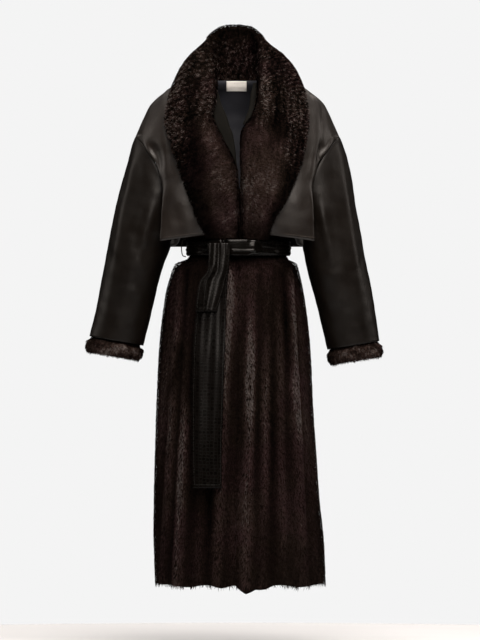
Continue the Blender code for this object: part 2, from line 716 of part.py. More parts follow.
def make_leather(leather):
    """Leather fronts, back and sleeves, whose inner faces meet at their seams."""
    fronts, sleeves, backs = {}, {}, {}
    for side, sign in SIGN.items():
        front = [leather_row(LEATHER_FRONT, end.z, sign, -1, end, FRONT_STEPS)
                 for end in armhole_rows(side, -1)]
        shape_hem(front[-1])
        fronts[side] = front
        backs[side] = [leather_row(LEATHER_BACK, end.z, sign, 1, end, BACK_STEPS)
                       for end in armhole_rows(side, 1)]
        sleeves[side] = [sleeve_ring(row, side) for row in SLEEVES[side]]
    back = [list(reversed(left)) + right[1:] for left, right in zip(backs["left"], backs["right"])]
    for point in back[-1]:
        point.z -= LEATHER_BACK_DROP * smooth_step(point.y / LEATHER_BACK_DEPTH)

    shoulder_rows = len(SHOULDER_LEVELS)
    half = SLEEVE_SIDES // 2
    out = {"back": [[-d for d in line] for line in normals(back, False)]}
    for side, sign in SIGN.items():
        out[side] = [[d * -sign for d in line] for line in normals(fronts[side], False)]
        out["sleeve_" + side] = [[d * -sign for d in line] for line in normals(sleeves[side], True)]
    for name, grid, directions in ([("back", back, out["back"])]
                                   + [(s, fronts[s], out[s]) for s in SIGN]
                                   + [("sleeve_" + s, sleeves[s], out["sleeve_" + s]) for s in SIGN]):
        middle = len(grid) // 2
        probe = grid[middle][len(grid[0]) // 2]
        centre = Vector((0, 0, probe.z))
        if name.startswith("sleeve"):
            centre = sum(grid[middle], Vector()) / len(grid[middle])
        if directions[middle][len(grid[0]) // 2].dot(probe - centre) < 0:
            for line in directions:
                line[:] = [-d for d in line]

    part = {"front_left": {}, "front_right": {}, "back": {}}
    for side in SIGN:
        sleeve, edge = out["sleeve_" + side], 0 if side == "left" else -1
        for i in range(len(fronts[side])):
            k = i - shoulder_rows
            ahead, behind = step_in(fronts[side], i, -1), step_in(back, i, edge)
            if not 0 <= k <= half:
                out[side][i][-1] = out["back"][i][edge] = (out[side][i][-1]
                                                           + out["back"][i][edge]).normalized()
                part["front_" + side][i] = ahead - behind
                part["back"][i, edge] = behind - ahead
                continue
            low = k > half / 2
            turned = [[line[k] for line in sleeves[side]] for k in range(SLEEVE_SIDES)]
            down = step_in([list(reversed(t)) for t in turned], k, -1)
            rear = step_in([list(reversed(t)) for t in turned], -k % SLEEVE_SIDES, -1)
            if k in (0, half):
                shared = out[side][i][-1] + out["back"][i][edge] + 2 * sleeve[0][k] + 3 * low * down
                out[side][i][-1] = out["back"][i][edge] = sleeve[0][k] = shared.normalized()
                part["front_" + side][i] = 2 * ahead - down - behind
                part["back"][i, edge] = 2 * behind - down - ahead
                continue
            shared = out[side][i][-1] + sleeve[0][k] + low * (ahead + down)
            out[side][i][-1] = sleeve[0][k] = shared.normalized()
            shared = out["back"][i][edge] + sleeve[0][-k] + low * (behind + rear)
            out["back"][i][edge] = sleeve[0][-k] = shared.normalized()
            part["front_" + side][i] = ahead - down
            part["back"][i, edge] = behind - rear

    for side in SIGN:
        inner = moved(fronts[side], out[side], -LEATHER)
        outer = [list(row) for row in fronts[side]]
        for i, way in part["front_" + side].items():
            outer[i][-1] = outer[i][-1] + way.normalized() * LEATHER_SEAM
            inner[i][-1] = inner[i][-1] + way.normalized() * LEATHER_SEAM
        wall("leather_front_" + side, outer, inner, False, leather)
        inner = moved(sleeves[side], out["sleeve_" + side], -LEATHER)
        wall("sleeve_" + side, sleeves[side], inner, True, leather)
    inner = moved(back, out["back"], -LEATHER)
    outer = [list(row) for row in back]
    for (i, edge), way in part["back"].items():
        outer[i][edge] = outer[i][edge] + way.normalized() * LEATHER_SEAM
        inner[i][edge] = inner[i][edge] + way.normalized() * LEATHER_SEAM
    wall("leather_back", outer, inner, False, leather, turn_at=len(back[0]) // 2)
    return fronts, back


def make_cuffs(fur):
    """Fur cuffs, tucked inside the sleeve ends and showing below them."""
    for side in SIGN:
        last, before = SLEEVES[side][-1], SLEEVES[side][-2]
        way = Vector((last[0] + last[2] - before[0] - before[2], 0,
                      last[1] + last[3] - before[1] - before[3])).normalized()
        way.x *= SIGN[side]
        outer = [[p + way * run for p in sleeve_ring(last, side, out)] for run, out in CUFF]
        inner = [[p + way * run for p in sleeve_ring(last, side, out - CUFF_FUR)]
                 for run, out in CUFF]
        wall("cuff_" + side, outer, inner, True, fur)


# The collar.

def collar_section(row, lift_seam, lift_edge):
    """The fur face of the collar at one station: up from the seam, over the roll, down the fall."""
    seam, roll, edge = Vector(row[0:3]), Vector(row[3:6]), Vector(row[6:9])
    bend, puff, fold = row[9:12]
    seam, edge = lift_seam(seam), lift_edge(edge)
    upward = (roll - (seam + edge) / 2).normalized()
    outward = edge - seam
    outward = (outward - upward * outward.dot(upward)).normalized()
    middle = roll - upward * bend
    turn = [middle + bend * (upward * math.sin(t * QUARTER) - outward * math.cos(t * QUARTER))
            for t in (0, 0.5, 1, 1.5, 2)]
    fall = [turn[-1].lerp(edge, along) + outward * puff * stand for along, stand in COLLAR_FALL]
    points = [seam, seam.lerp(turn[0], 0.5)] + turn + fall + [edge]
    for k, depth in zip(COLLAR_FOLD_AT, COLLAR_FOLD_DEPTH):
        points[k] -= outward * fold * depth
    return points


def make_collar(fur, leather_fronts, leather_back, body_fronts):
    """The two halves of the shawl collar."""
    for side, sign in SIGN.items():
        over = surface_of(leather_fronts[side])
        behind = surface_of(leather_back)
        under = surface_of(body_fronts[side])

        def lift(point, tree, distance):
            near, direction, _, _ = tree.find_nearest(point)
            away = point - near
            outward = Vector((near.x, near.y, OUTWARD_RISE))
            if away.length < TOUCHING or away.dot(outward) < 0:
                away = direction if direction.dot(outward) > 0 else -direction
            return near + away.normalized() * distance

        def on_leather(point):
            tree = over if point.y < 0 else behind
            return lift(point, tree, COLLAR_FUR + COLLAR_LIFT)

        def on_body(point):
            return lift(point, under, COLLAR_CLEAR) if point.z < NECK_TOP else point

        outer = []
        for row in COLLARS[side]:
            outer.append(collar_section(row, on_body, on_leather))
        directions = normals(outer, False)
        middle = len(outer) // 2
        if directions[middle][-3].y > 0:
            directions = [[-d for d in line] for line in directions]
        directions[0] = [Vector((0, d.y, d.z)).normalized() for d in directions[0]]
        inner = moved(outer, directions, -COLLAR_FUR)
        for grid in (outer, inner):
            for point in grid[0]:
                point.x = sign * SEAM / 2
        wall("collar_" + side, outer, inner, False, fur)


# The lining, the facings and the label.

def across(row, x):
    """A point of a row of points where it passes x."""
    for a, b in zip(row, row[1:]):
        if (a.x - x) * (b.x - x) <= 0:
            return a.lerp(b, (x - a.x) / (b.x - a.x))
    return row[0]


def make_lining(body_back, satin, cotton):
    """The satin back lining, made from the back's inner face moved in, and the blank neck label."""
    _, inside, out = body_back
    rows = sum(height >= -LINING_DEPTH for height in BODY_LEVELS)
    skip = LINING_INSET
    inside = [row[skip:-skip:2] for row in inside[:rows]]
    out = [row[skip:-skip:2] for row in out[:rows]]
    outer = moved(inside, out, -LINING_GAP)
    inner = moved(inside, out, -LINING_GAP - SATIN)
    wall("back_lining", outer, inner, False, satin)

    width, drop, thick = LABEL
    faces = []
    for depth in (LABEL_GAP, LABEL_GAP + thick):
        face = []
        for share in (0, 0.5, 1):
            height = LABEL_TOP - drop * share
            low = next(k for k, row in enumerate(inner) if row[len(row) // 2].z < height)
            high_z, low_z = inner[low - 1][len(inner[0]) // 2].z, inner[low][len(inner[0]) // 2].z
            line = []
            for k in range(5):
                x = LABEL_SHIFT + width * (k / 4 - 0.5)
                upper, lower = across(inner[low - 1], x), across(inner[low], x)
                point = upper.lerp(lower, (high_z - height) / (high_z - low_z))
                line.append(point - Vector((0, depth, 0)))
            face.append(line)
        faces.append(face)
    wall("neck_label", faces[0], faces[1], False, cotton)


def make_facings(satin):
    """The smooth strips that show beside the lapels' inner edges."""
    for side, table in FACINGS.items():
        outer, inner = [], []
        sign = SIGN[side]
        for height, x_show, x_lapel, depth in table:
            x_bend = x_show + sign * FACING_BEND
            line = spline([(x_lapel, -depth, height), (x_bend, -depth - FACING_BEND / 2, height),
                           (x_show, -depth + 2 * FACING_BEND, height),
                           (x_bend, -depth + FACING_RETURN, height)], (2, 1, 2))
            outer.append(line)
        directions = normals(outer, False)
        if directions[1][1].y > 0:
            directions = [[-d for d in line] for line in directions]
        wall("facing_" + side, outer, moved(outer, directions, -FACING_WALL), False, satin)


# The belt.

def make_belt(croc, thread):
    """The sash round the waist, its knot, its two hanging ends and its thread loop."""
    width, front, back, shift, square = BELT_RING
    outer, inner = [], []
    for k, fold in enumerate(BELT_FOLDS):
        height = BELT_TOP - BELT_HEIGHT * k / (len(BELT_FOLDS) - 1)
        for grid, out in ((outer, BELT_WALL + fold), (inner, 0)):
            grid.append([ring_point(width + out, front + out, back + out, shift, square,
                                    2 * math.pi * j / BELT_COLUMNS) + Vector((0, 0, height))
                         for j in range(BELT_COLUMNS)])
    wall("belt_wrap", outer, inner, True, croc)

    rings = []
    for x, top, bottom, thick in KNOT:
        away = KNOT_BACK - KNOT_CURVE * x * x
        middle, half = (top + bottom) / 2, (top - bottom) / 2
        ring = []
        for k in range(KNOT_SIDES):
            turn = 2 * math.pi * k / KNOT_SIDES
            pleat = 1 + KNOT_PLEAT * math.cos(5 * turn)
            out = max(math.cos(turn), 0)**KNOT_FULLNESS * thick * pleat
            ring.append(Vector((x, -away - out, middle + half * math.sin(turn))))
        rings.append(ring)
    bar("belt_knot", rings, croc)

    for name, table in BELT_ENDS.items():
        outer = []
        for height, left, right, depth in table:
            row = []
            for j in range(END_COLUMNS + 1):
                share = j / END_COLUMNS
                wave = END_WAVE * math.cos(2 * math.pi * share * 2)
                curve = END_CURVE * (2 * share - 1)**2
                row.append(Vector((left + (right - left) * share, -depth + wave + curve, height)))
            outer.append(row)
        inner = [[p + Vector((0, END_WALL, 0)) for p in row] for row in outer]
        wall(name, outer, inner, False, croc)

    edge = shift - width - BELT_WALL - max(BELT_FOLDS)
    top, bottom = BELT_TOP + LOOP_REACH, BELT_TOP - BELT_HEIGHT - LOOP_REACH
    path = spline([(edge + LOOP_BACK, 0, top), (edge - LOOP_SHOULDER, 0, top - LOOP_STAND),
                   (edge - LOOP_STAND, 0, (top + bottom) / 2),
                   (edge - LOOP_SHOULDER, 0, bottom + LOOP_STAND),
                   (edge + LOOP_BACK, 0, bottom)], (2, 2, 2, 2))
    rings = []
    for k, point in enumerate(path):
        along = (path[min(k + 1, len(path) - 1)] - path[max(k - 1, 0)]).normalized()
        side_way = along.cross(Vector((0, 1, 0)))
        rings.append([point + LOOP_RADIUS * (side_way * math.cos(QUARTER * q)
                                             + Vector((0, math.sin(QUARTER * q), 0)))
                      for q in range(4)])
    bar("belt_loop_left", rings, thread)


for old in list(bpy.data.objects):
    bpy.data.objects.remove(old, do_unlink=True)

FUR_BROWN = material("brown_faux_fur", (0.020, 0.011, 0.008), 0.85)
LEATHER_BLACK = material("smooth_black_brown_leather", (0.012, 0.010, 0.008), 0.45)
CROC = material("glossy_embossed_leather", (0.008, 0.007, 0.006), 0.25)
SATIN_BLACK = material("black_satin", (0.012, 0.012, 0.015), 0.40)
LABEL_WHITE = material("woven_white_label", (0.78, 0.78, 0.75), 0.70)
THREAD = material("brown_thread", (0.020, 0.012, 0.009), 0.80)

body_fronts, body_back = make_body(FUR_BROWN)
leather_fronts, leather_back = make_leather(LEATHER_BLACK)
make_cuffs(FUR_BROWN)
make_collar(FUR_BROWN, leather_fronts, leather_back, body_fronts)
make_lining(body_back, SATIN_BLACK, LABEL_WHITE)
make_facings(SATIN_BLACK)
make_belt(CROC, THREAD)
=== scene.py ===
"""A long faux fur coat with a cropped leather layer and sleeves, tied with a sash belt.

It is filled out with no wearer in it. Metres, +Z up, the front faces -Y, left and right as seen.
Sizes are in metres, but those in a table that goes through metres() are in millimetres.
"""
import math

import bpy
import numpy as np
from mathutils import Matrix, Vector
from mathutils.bvhtree import BVHTree


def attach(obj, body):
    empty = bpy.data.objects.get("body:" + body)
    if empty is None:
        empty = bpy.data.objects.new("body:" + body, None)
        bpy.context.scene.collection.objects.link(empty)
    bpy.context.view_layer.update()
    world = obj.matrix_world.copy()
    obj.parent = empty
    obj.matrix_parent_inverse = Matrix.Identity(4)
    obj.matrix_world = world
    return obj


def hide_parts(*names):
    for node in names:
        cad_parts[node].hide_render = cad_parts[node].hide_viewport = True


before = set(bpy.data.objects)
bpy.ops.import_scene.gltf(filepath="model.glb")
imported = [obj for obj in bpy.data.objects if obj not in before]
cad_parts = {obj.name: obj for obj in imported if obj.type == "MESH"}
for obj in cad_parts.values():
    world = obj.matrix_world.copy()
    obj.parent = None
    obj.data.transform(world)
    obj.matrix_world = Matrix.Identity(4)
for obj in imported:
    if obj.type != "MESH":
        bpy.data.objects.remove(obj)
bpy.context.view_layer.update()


# The fur body. On the real coat it is a long-pile acrylic faux fur on a knitted backing, cut as
# two fronts and a back. It is gathered by the belt, so the skirt hangs in soft vertical folds,
# and its right front laps over the left one.

# The guard hairs stand this far out of the dense underfur, which is drawn with its backing.
PILE = 0.0048
BACKING = 0.0052
FOLD_TOP = -0.447
FOLD_RISE = 16
HEM = -1.262
SEAM = 0.0003
QUARTER = math.pi / 2


def metres(sizes, plain=()):
    """Millimetres as metres, in tables of any depth. Plain are the columns that aren't lengths."""
    if isinstance(sizes, dict):
        return {name: metres(rows, plain) for name, rows in sizes.items()}
    if not isinstance(sizes, tuple):
        return sizes / 1000
    return tuple(size if k in plain and not isinstance(size, tuple) else metres(size, plain)
                 for k, size in enumerate(sizes))


BODY = metres((
    # height, width, front, back, shift, squareness
    (0, 78, 62, 76, 0, 2.0),
    (-14, 84, 68, 80, 0, 1.9),
    (-30, 146, 76, 88, 0, 1.8),
    (-56, 188, 84, 98, 0, 1.8),
    (-80, 207, 94, 106, 0, 1.9),
    (-120, 226, 102, 114, 0, 2.0),
    (-200, 212, 112, 120, 0, 2.1),
    (-300, 184, 112, 118, 0, 2.2),
    (-378, 147, 100, 108, 0, 2.2),
    (-402, 124.5, 88, 99, 2, 2.2),
    (-447, 124.5, 89, 100, 1, 2.2),
    (-459, 148, 106, 116, -3, 2.2),
    (-477, 158, 112, 124, -5, 2.2),
    (-552, 176, 125, 140, -7, 2.3),
    (-677, 190, 138, 152, -7, 2.3),
    (-802, 196, 146, 158, -7, 2.3),
    (-927, 202, 154, 163, -5, 2.3),
    (-1052, 208, 160, 168, -2, 2.3),
    (-1177, 214, 166, 174, 4, 2.3),
    (-1262, 214, 168, 176, 7, 2.3),
), plain=(5,))
BODY_ARMHOLE = metres((
    # height, half width
    (-120, 226), (-165, 203), (-225, 178), (-290, 158), (-345, 149), (-378, 147),
))
FRONT_EDGES = metres((
    # height, left front, right front
    (0, -70, 70), (-50, -68, 66), (-90, -72, 50), (-130, -60, 26), (-177, -36, 12), (-227, -18, 8),
    (-300, 20, 6), (-360, 60, 6), (-425, 75, 6), (-1262, 75, -3),
))
LAP_START = -0.230
LAP_RUN = 0.036
LAP_FULL = 0.008
LAP_DEPTH = 0.016
LAP_GROWTH = 0.05
FRONT_FOLDS = metres((
    # x at the waist, x at the hem, height at the waist, height at the hem, half width at both
    (-138, -186, 6, 11, 16, 26),
    (-112, -150, 8, 13, 14, 24),
    (-62, -98, 4, 7, 16, 24),
    (-19, -54, 8, 13, 15, 22),
    (38, 20, 8, 14, 15, 21),
    (74, 62, 8, 12, 13, 18),
    (101, 112, 7, 8, 12, 20),
    (130, 164, 7, 13, 14, 26),
))
BACK_FOLDS = metres((
    (-126, -170, 7, 13, 15, 26),
    (-84, -112, 8, 14, 15, 25),
    (-42, -52, 7, 11, 15, 24),
    (4, 10, 9, 15, 16, 26),
    (46, 66, 7, 12, 15, 24),
    (86, 120, 8, 14, 15, 25),
    (128, 176, 7, 12, 15, 26),
))
HEM_DROPS = metres((
    # x, drop, half width
    (-130, 6, 50), (-40, 8, 34), (22, 22, 34), (62, 12, 36), (160, 6, 50),
))
HEM_DROP_REACH = 0.12


def between(table, at):
    """Rows of a table at the given places of its first column, smooth and without overshoot."""
    table = np.array(sorted(table), float)
    x, y = table[:, 0], table[:, 1:]
    place = np.asarray(at, float).ravel()
    step = np.diff(x)
    slope = np.diff(y, axis=0) / step[:, None]
    tangent = np.zeros_like(y)
    total = slope[:-1] + slope[1:]
    total[total == 0] = 1
    tangent[1:-1] = np.where(slope[:-1] * slope[1:] > 0, 2 * slope[:-1] * slope[1:] / total, 0)
    tangent[0], tangent[-1] = slope[0], slope[-1]
    k = np.clip(np.searchsorted(x, place, side="right") - 1, 0, len(x) - 2)
    t = np.clip((place - x[k]) / step[k], 0, 1)[:, None]
    h = step[k][:, None]
    value = (y[k] * (2 * t**3 - 3 * t**2 + 1) + tangent[k] * h * (t**3 - 2 * t**2 + t)
             + y[k + 1] * (3 * t**2 - 2 * t**3) + tangent[k + 1] * h * (t**3 - t**2))
    return value.reshape(np.shape(at) + (y.shape[1],))


def smooth_step(t):
    t = np.clip(t, 0, 1)
    return t * t * (3 - 2 * t)


def bump(distance):
    return np.where(abs(distance) < 1, np.cos(QUARTER * np.clip(distance, -1, 1))**2, 0)


def unit(vectors):
    return vectors / np.maximum(np.linalg.norm(vectors, axis=-1, keepdims=True), 1e-9)


def ripple(points, size, seed):
    """A smooth random value from -1 to 1 that changes over about this size."""
    rng = np.random.default_rng(seed)
    total = np.zeros(points.shape[:-1])
    for _ in range(7):
        wave = unit(rng.normal(size=3)) * rng.uniform(0.6, 1.5) * 2 * math.pi / size
        total += np.sin(points @ wave + rng.uniform(0, 2 * math.pi))
    return total / 3.5


def across(grid, sign=1):
    """The direction out of a grid of points at each of them."""
    return sign * unit(np.cross(np.gradient(grid, axis=0), np.gradient(grid, axis=1)))


def ring(level, angle):
    """Points of a level ring. The angle runs from the front to the right."""
    width, front, back, shift, square = np.moveaxis(level, -1, 0)
    s, c = np.sin(angle), np.cos(angle)
    reach = (abs(s)**square + abs(c)**square)**(-1 / square)
    return np.stack([shift + width * s * reach, -np.where(c > 0, front, back) * c * reach], -1)


def ring_angle(level, x):
    width, shift, square = level[..., 0], level[..., 3], level[..., 4]
    share = np.clip((x - shift) / width, -1, 1)
    return np.arctan2(share, (1 - abs(share)**square).clip(0)**(1 / square))


def body_surface(height, angle):
    """The tips of the fur on the body: a grid over heights (rows) and angles."""
    level = between(BODY, height)
    flat = ring(level[:, None, :], angle)
    grid = np.concatenate([flat, np.broadcast_to(height[:, None, None], angle.shape + (1,))], -1)
    out = across(grid)
    out[..., 2] *= abs(np.sin(angle))
    out = unit(out)
    drop = (height - FOLD_TOP) / (HEM - FOLD_TOP)
    around = (level[:, 0] + (level[:, 1] + level[:, 2]) / 2) / 2
    total = np.zeros(angle.shape)
    for folds, behind in ((FRONT_FOLDS, False), (BACK_FOLDS, True)):
        for x_top, x_hem, high_top, high_hem, wide_top, wide_hem in folds:
            at = ring_angle(level, x_top + (x_hem - x_top) * drop)
            at = math.pi - at if behind else at
            off = (angle - at[:, None] + math.pi) % (2 * math.pi) - math.pi
            wide = wide_top + (wide_hem - wide_top) * drop
            high = high_top + (high_hem - high_top) * smooth_step(drop * 2)
            rise = np.where(drop > 0, high * smooth_step(drop * FOLD_RISE), 0)
            total += rise[:, None] * bump(off * (around / np.maximum(wide, 0.01))[:, None])
    return grid + out * total[..., None], out, total


def side_angle(height):
    level = between(BODY, height)
    edge = ring_angle(level, between(BODY_ARMHOLE, height)[:, 0])
    inside = (height > BODY_ARMHOLE[-1][0]) & (height < BODY_ARMHOLE[0][0])
    return np.where(inside, edge, QUARTER)


def body_panel(first, last, columns, lapped=False):
    """A panel of the body between two angles for each height, the direction out of it, and how
    far its folds stand out."""
    height = np.concatenate([np.linspace(0, -0.40, 46), np.linspace(-0.406, HEM, 151)])
    share = np.linspace(0, 1, columns)
    a, b = first(height), last(height)
    grid, out, ridge = body_surface(height, a[:, None] + (b - a)[:, None] * share)
    x = grid[..., 0]
    drop = sum(fall * bump((x - at) / wide) for at, fall, wide in HEM_DROPS)
    low = smooth_step((HEM + HEM_DROP_REACH - height) / HEM_DROP_REACH)
    grid[..., 2] -= np.where(grid[..., 1] < 0, drop * low[:, None], 0)
    if lapped:
        edge = between(FRONT_EDGES, height)[:, 1][:, None]
        deep = smooth_step((LAP_START - height) / LAP_GROWTH)[:, None] * LAP_DEPTH
        grid -= out * (deep * smooth_step((x - edge + LAP_RUN) / (LAP_RUN - LAP_FULL)))[..., None]
    return grid, out, ridge


def placed(name, mesh, material):
    """The piece that a mesh makes, with one material."""
    mesh.materials.append(material)
    piece = bpy.data.objects.new(name, mesh)
    bpy.context.collection.objects.link(piece)
    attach(piece, "root")
    return piece


def solid(name, points, faces, material):
    """A smooth piece from points and faces."""
    mesh = bpy.data.meshes.new(name)
    mesh.from_pydata(np.asarray(points, float).reshape(-1, 3).tolist(), [], faces)
    mesh.validate()
    mesh.shade_smooth()
    return placed(name, mesh, material)


def net(rows, columns, around=False, start=0, turned=False):
    """The faces of a grid of points."""
    spans = columns if around else columns - 1
    i, j = np.meshgrid(np.arange(rows - 1), np.arange(spans), indexing="ij")
    k = (j + 1) % columns
    quads = np.stack([i * columns + j, i * columns + k, (i + 1) * columns + k,
                      (i + 1) * columns + j], -1).reshape(-1, 4) + start
    return (quads[:, ::-1] if turned else quads).tolist()


def tube(rows, columns, start=0, turned=False):
    """The faces of a tube of rings of points, closed at both ends."""
    first = list(range(start, start + columns))
    last = [k + (rows - 1) * columns for k in first]
    ends = [first, last[::-1]] if turned else [first[::-1], last]
    return net(rows, columns, True, start, turned) + ends


def mark_cloth(mesh, marks):
    """Gives a mesh its UV in metres from a place on the cloth for each of its points."""
    spots = np.empty(len(mesh.loops), int)
    mesh.loops.foreach_get("vertex_index", spots)
    mesh.uv_layers.new(name="metres").data.foreach_set("uv", marks[spots].ravel())


def shell(name, stands_for, outer, inner, material, around=False, inside=None):
    """A cloth or hide with thickness, closed at its edges, in the place of its CAD solid."""
    rows, columns = outer.shape[:2]
    size = rows * columns
    faces = net(rows, columns, around, turned=True) + net(rows, columns, around, size)
    half = len(faces) // 2
    for row in (0, rows - 1):
        for j in range(columns if around else columns - 1):
            a, b = row * columns + j, row * columns + (j + 1) % columns
            faces.append([a, b, b + size, a + size][::1 if row == 0 else -1])
    for column in () if around else (0, columns - 1):
        for i in range(rows - 1):
            a, b = i * columns + column, (i + 1) * columns + column
            faces.append([a, b, b + size, a + size][::-1 if column == 0 else 1])
    piece = solid(name, np.concatenate([outer.reshape(-1, 3), inner.reshape(-1, 3)]), faces,
                  material)
    mesh = piece.data
    if inside is not None and len(mesh.polygons) == len(faces):
        mesh.materials.append(inside)
        sides = np.zeros(len(faces), int)
        sides[half:2 * half] = 1
        mesh.polygons.foreach_set("material_index", sides)
    long = np.cumsum(np.linalg.norm(np.diff(outer, axis=0, prepend=outer[:1]), axis=-1), axis=0)
    wide = np.cumsum(np.linalg.norm(np.diff(outer, axis=1, prepend=outer[:, :1]), axis=-1), axis=1)
    marks = np.stack([wide - wide[:, columns // 2:columns // 2 + 1], long], -1).reshape(-1, 2)
    mark_cloth(mesh, np.concatenate([marks, marks]))
    mesh.update()
    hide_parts(stands_for)
    return piece


def grow(name, grid, out, lay, light, count, length, width, stand, keep=None, sway=18, curl=0.0,
         fleck=0.14, seed=1):
    """Locks of fur that grow from a grid of points, each a thin bent blade with a fine tip.

    Lay is the way that the fur lies and light how light it is drawn, from 0 to 1, painted light
    included.
    Sway is how far a lock strays from its lay in degrees, curl how far it swings sideways, stand
    how far it stands off the backing, and fleck how much locks differ from their neighbours.
    """
    rng = np.random.default_rng(seed)
    across_row, down_column = np.diff(grid, axis=1)[:-1], np.diff(grid, axis=0)[:, :-1]
    area = np.linalg.norm(np.cross(across_row, down_column), axis=-1)
    if keep is not None:
        area = area * keep(grid[:-1, :-1])
    cell = rng.choice(area.size, size=count, p=(area / area.sum()).ravel())
    i, j = np.divmod(cell, grid.shape[1] - 1)
    a, b = rng.random((2, count, 1))

    def pick(field):
        return ((field[i, j] * (1 - a) + field[i + 1, j] * a) * (1 - b)
                + (field[i, j + 1] * (1 - a) + field[i + 1, j + 1] * a) * b)

    root, normal, down = pick(grid), unit(pick(out)), pick(lay)
    tone, fleck, length = (pick(np.broadcast_to(value, light.shape)[..., None])[:, 0]
                           for value in (light, fleck, length))
    down = unit(down - normal * (down * normal).sum(-1, keepdims=True))
    side = np.cross(normal, down)
    stray = np.radians(sway) * (0.8 * ripple(root, 0.09, seed) + 0.5 * ripple(root, 0.018, seed + 1)
                                + 0.6 * rng.normal(size=count))
    down, side = (down * np.cos(stray)[:, None] + side * np.sin(stray)[:, None],
                  side * np.cos(stray)[:, None] - down * np.sin(stray)[:, None])
    long = length * rng.uniform(0.65, 1.25, count) * (1 + 0.15 * ripple(root, 0.03, seed + 2))
    wide = width * rng.uniform(0.6, 1.3, count)
    twist = rng.normal(scale=0.3, size=count)
    blade = side * np.cos(twist)[:, None] + normal * np.sin(twist)[:, None]
    height = stand * rng.uniform(0.75, 1.15, count) * (1 + 0.10 * ripple(root, 0.02, seed + 3))
    phase = rng.uniform(0, 2 * math.pi, count)
    points, tones, facing = [], [], []
    jitter = 0.22 * rng.normal(size=(count, 3))
    for share, ways in ((0.0, (0,)), (0.5, (-0.5, 0.5)), (1.0, (0,))):
        swing = curl * np.sin(phase + share * 4.2) * share
        centre = (root + down * (long * share * (1 - 0.12 * share))[:, None]
                  + normal * (height * (share**0.55 * 1.25 - 0.25 * share**2))[:, None]
                  + side * swing[:, None])
        toward = unit(normal + down * (0.25 * share) + jitter)
        for way in ways:
            points.append(centre + blade * (wide * way)[:, None])
            tones.append(share)
            facing.append(toward)
    points = np.stack(points, 1).reshape(-1, 3)
    corners = (np.arange(count)[:, None] * 4 + [0, 1, 2, 1, 3, 2]).ravel()
    mesh = bpy.data.meshes.new(name)
    mesh.vertices.add(len(points))
    mesh.vertices.foreach_set("co", points.ravel())
    mesh.loops.add(len(corners))
    mesh.loops.foreach_set("vertex_index", corners)
    mesh.polygons.add(2 * count)
    mesh.polygons.foreach_set("loop_start", np.arange(0, 6 * count, 3))
    mesh.update(calc_edges=True)
    mesh.shade_smooth()
    # The pile is shaded as the plush surface that it makes, so its folds read, not each hair.
    mesh.normals_split_custom_set_from_vertices(np.stack(facing, 1).reshape(-1, 3))
    tone = np.clip(tone + fleck * (rng.normal(size=count) + ripple(root, 0.012, seed + 4)), 0, 1)
    uv = np.stack([np.repeat(tone, 4), np.tile(tones, count)], -1)
    mesh.uv_layers.new(name="lock").data.foreach_set("uv", uv[corners].ravel())
    return placed(name, mesh, fur_pile)


def linear(colour):
    """An sRGB hex colour as linear RGBA."""
    parts = [int(colour[k:k + 2], 16) / 255 for k in (1, 3, 5)]
    return [p / 12.92 if p <= 0.04045 else ((p + 0.055) / 1.055)**2.4 for p in parts] + [1]


def new_material(name, finish):
    """A material, its tree and its shader, which gets the settings that are the same all over."""
    made = bpy.data.materials.new(name)
    made.use_nodes = True
    shader = made.node_tree.nodes["Principled BSDF"]
    for socket, value in finish.items():
        shader.inputs[socket].default_value = value
    return made, made.node_tree, shader


def join(tree, made, links):
    """Links inputs of a node from the given outputs."""
    for socket, output in links.items():
        tree.links.new(output, made.inputs[socket])


def node(tree, kind, settings=(), links=()):
    """Adds a node with its settings, and links its inputs from the given outputs."""
    made = tree.nodes.new(kind)
    for key, value in dict(settings).items():
        if key == "stops":
            for _ in value[2:]:
                made.color_ramp.elements.new(0.5)
            for element, (place, colour) in zip(made.color_ramp.elements, value):
                element.position, element.color = place, linear(colour)
        elif isinstance(key, int) or key in made.inputs:
            made.inputs[key].default_value = value
        else:
            setattr(made, key, value)
    join(tree, made, dict(links))
    return made


def patterned(name, finish, pattern, stops, relief=None, on_cloth=False):
    """A material whose colour follows one pattern through the stops, and whose surface does too
    where relief gives its strength and depth. Returns it with its tree, shader, place and tone."""
    made, tree, shader = new_material(name, finish)
    if on_cloth:
        spot = node(tree, "ShaderNodeUVMap", {"uv_map": "metres"}).outputs["UV"]
    else:
        spot = node(tree, "ShaderNodeTexCoord").outputs["Object"]
    kind, settings = pattern
    drawn = node(tree, kind, settings, {"Vector": spot}).outputs["Fac"]
    tone = node(tree, "ShaderNodeValToRGB", {"stops": stops}, {0: drawn})
    join(tree, shader, {"Base Color": tone.outputs["Color"]})
    if relief:
        raised = node(tree, "ShaderNodeBump", {"Strength": relief[0], "Distance": relief[1]},
                      {"Height": drawn})
        join(tree, shader, {"Normal": raised.outputs["Normal"]})
    return made, tree, shader, spot, tone


# Dyed acrylic pile, near black at its root and brown at its tip. How light each lock is drawn
# carries painted highlight on the ridges of the folds, where its warm tips show, and painted shade
# in the valleys.
fur_pile, tree, shader = new_material("long_pile_dyed_acrylic_fur",
                                      {"Roughness": 0.55, "Specular IOR Level": 0.0})
lock = node(tree, "ShaderNodeUVMap", {"uv_map": "lock"})
split = node(tree, "ShaderNodeSeparateXYZ", links={0: lock.outputs["UV"]})
spot = node(tree, "ShaderNodeTexCoord")
patches = node(tree, "ShaderNodeTexNoise", {"Scale": 9.0, "Detail": 3.0},
               {"Vector": spot.outputs["Object"]})
brown = node(tree, "ShaderNodeValToRGB", {"stops": [
    (0.0, "#060504"), (0.5, "#28201C"), (0.85, "#4B3D39"), (1.0, "#7A726F")]},
    {0: split.outputs["X"]})
red_brown = node(tree, "ShaderNodeValToRGB", {"stops": [
    (0.0, "#070505"), (0.5, "#2A1F1E"), (0.85, "#4E3B3B"), (1.0, "#7A6E6C")]},
    {0: split.outputs["X"]})
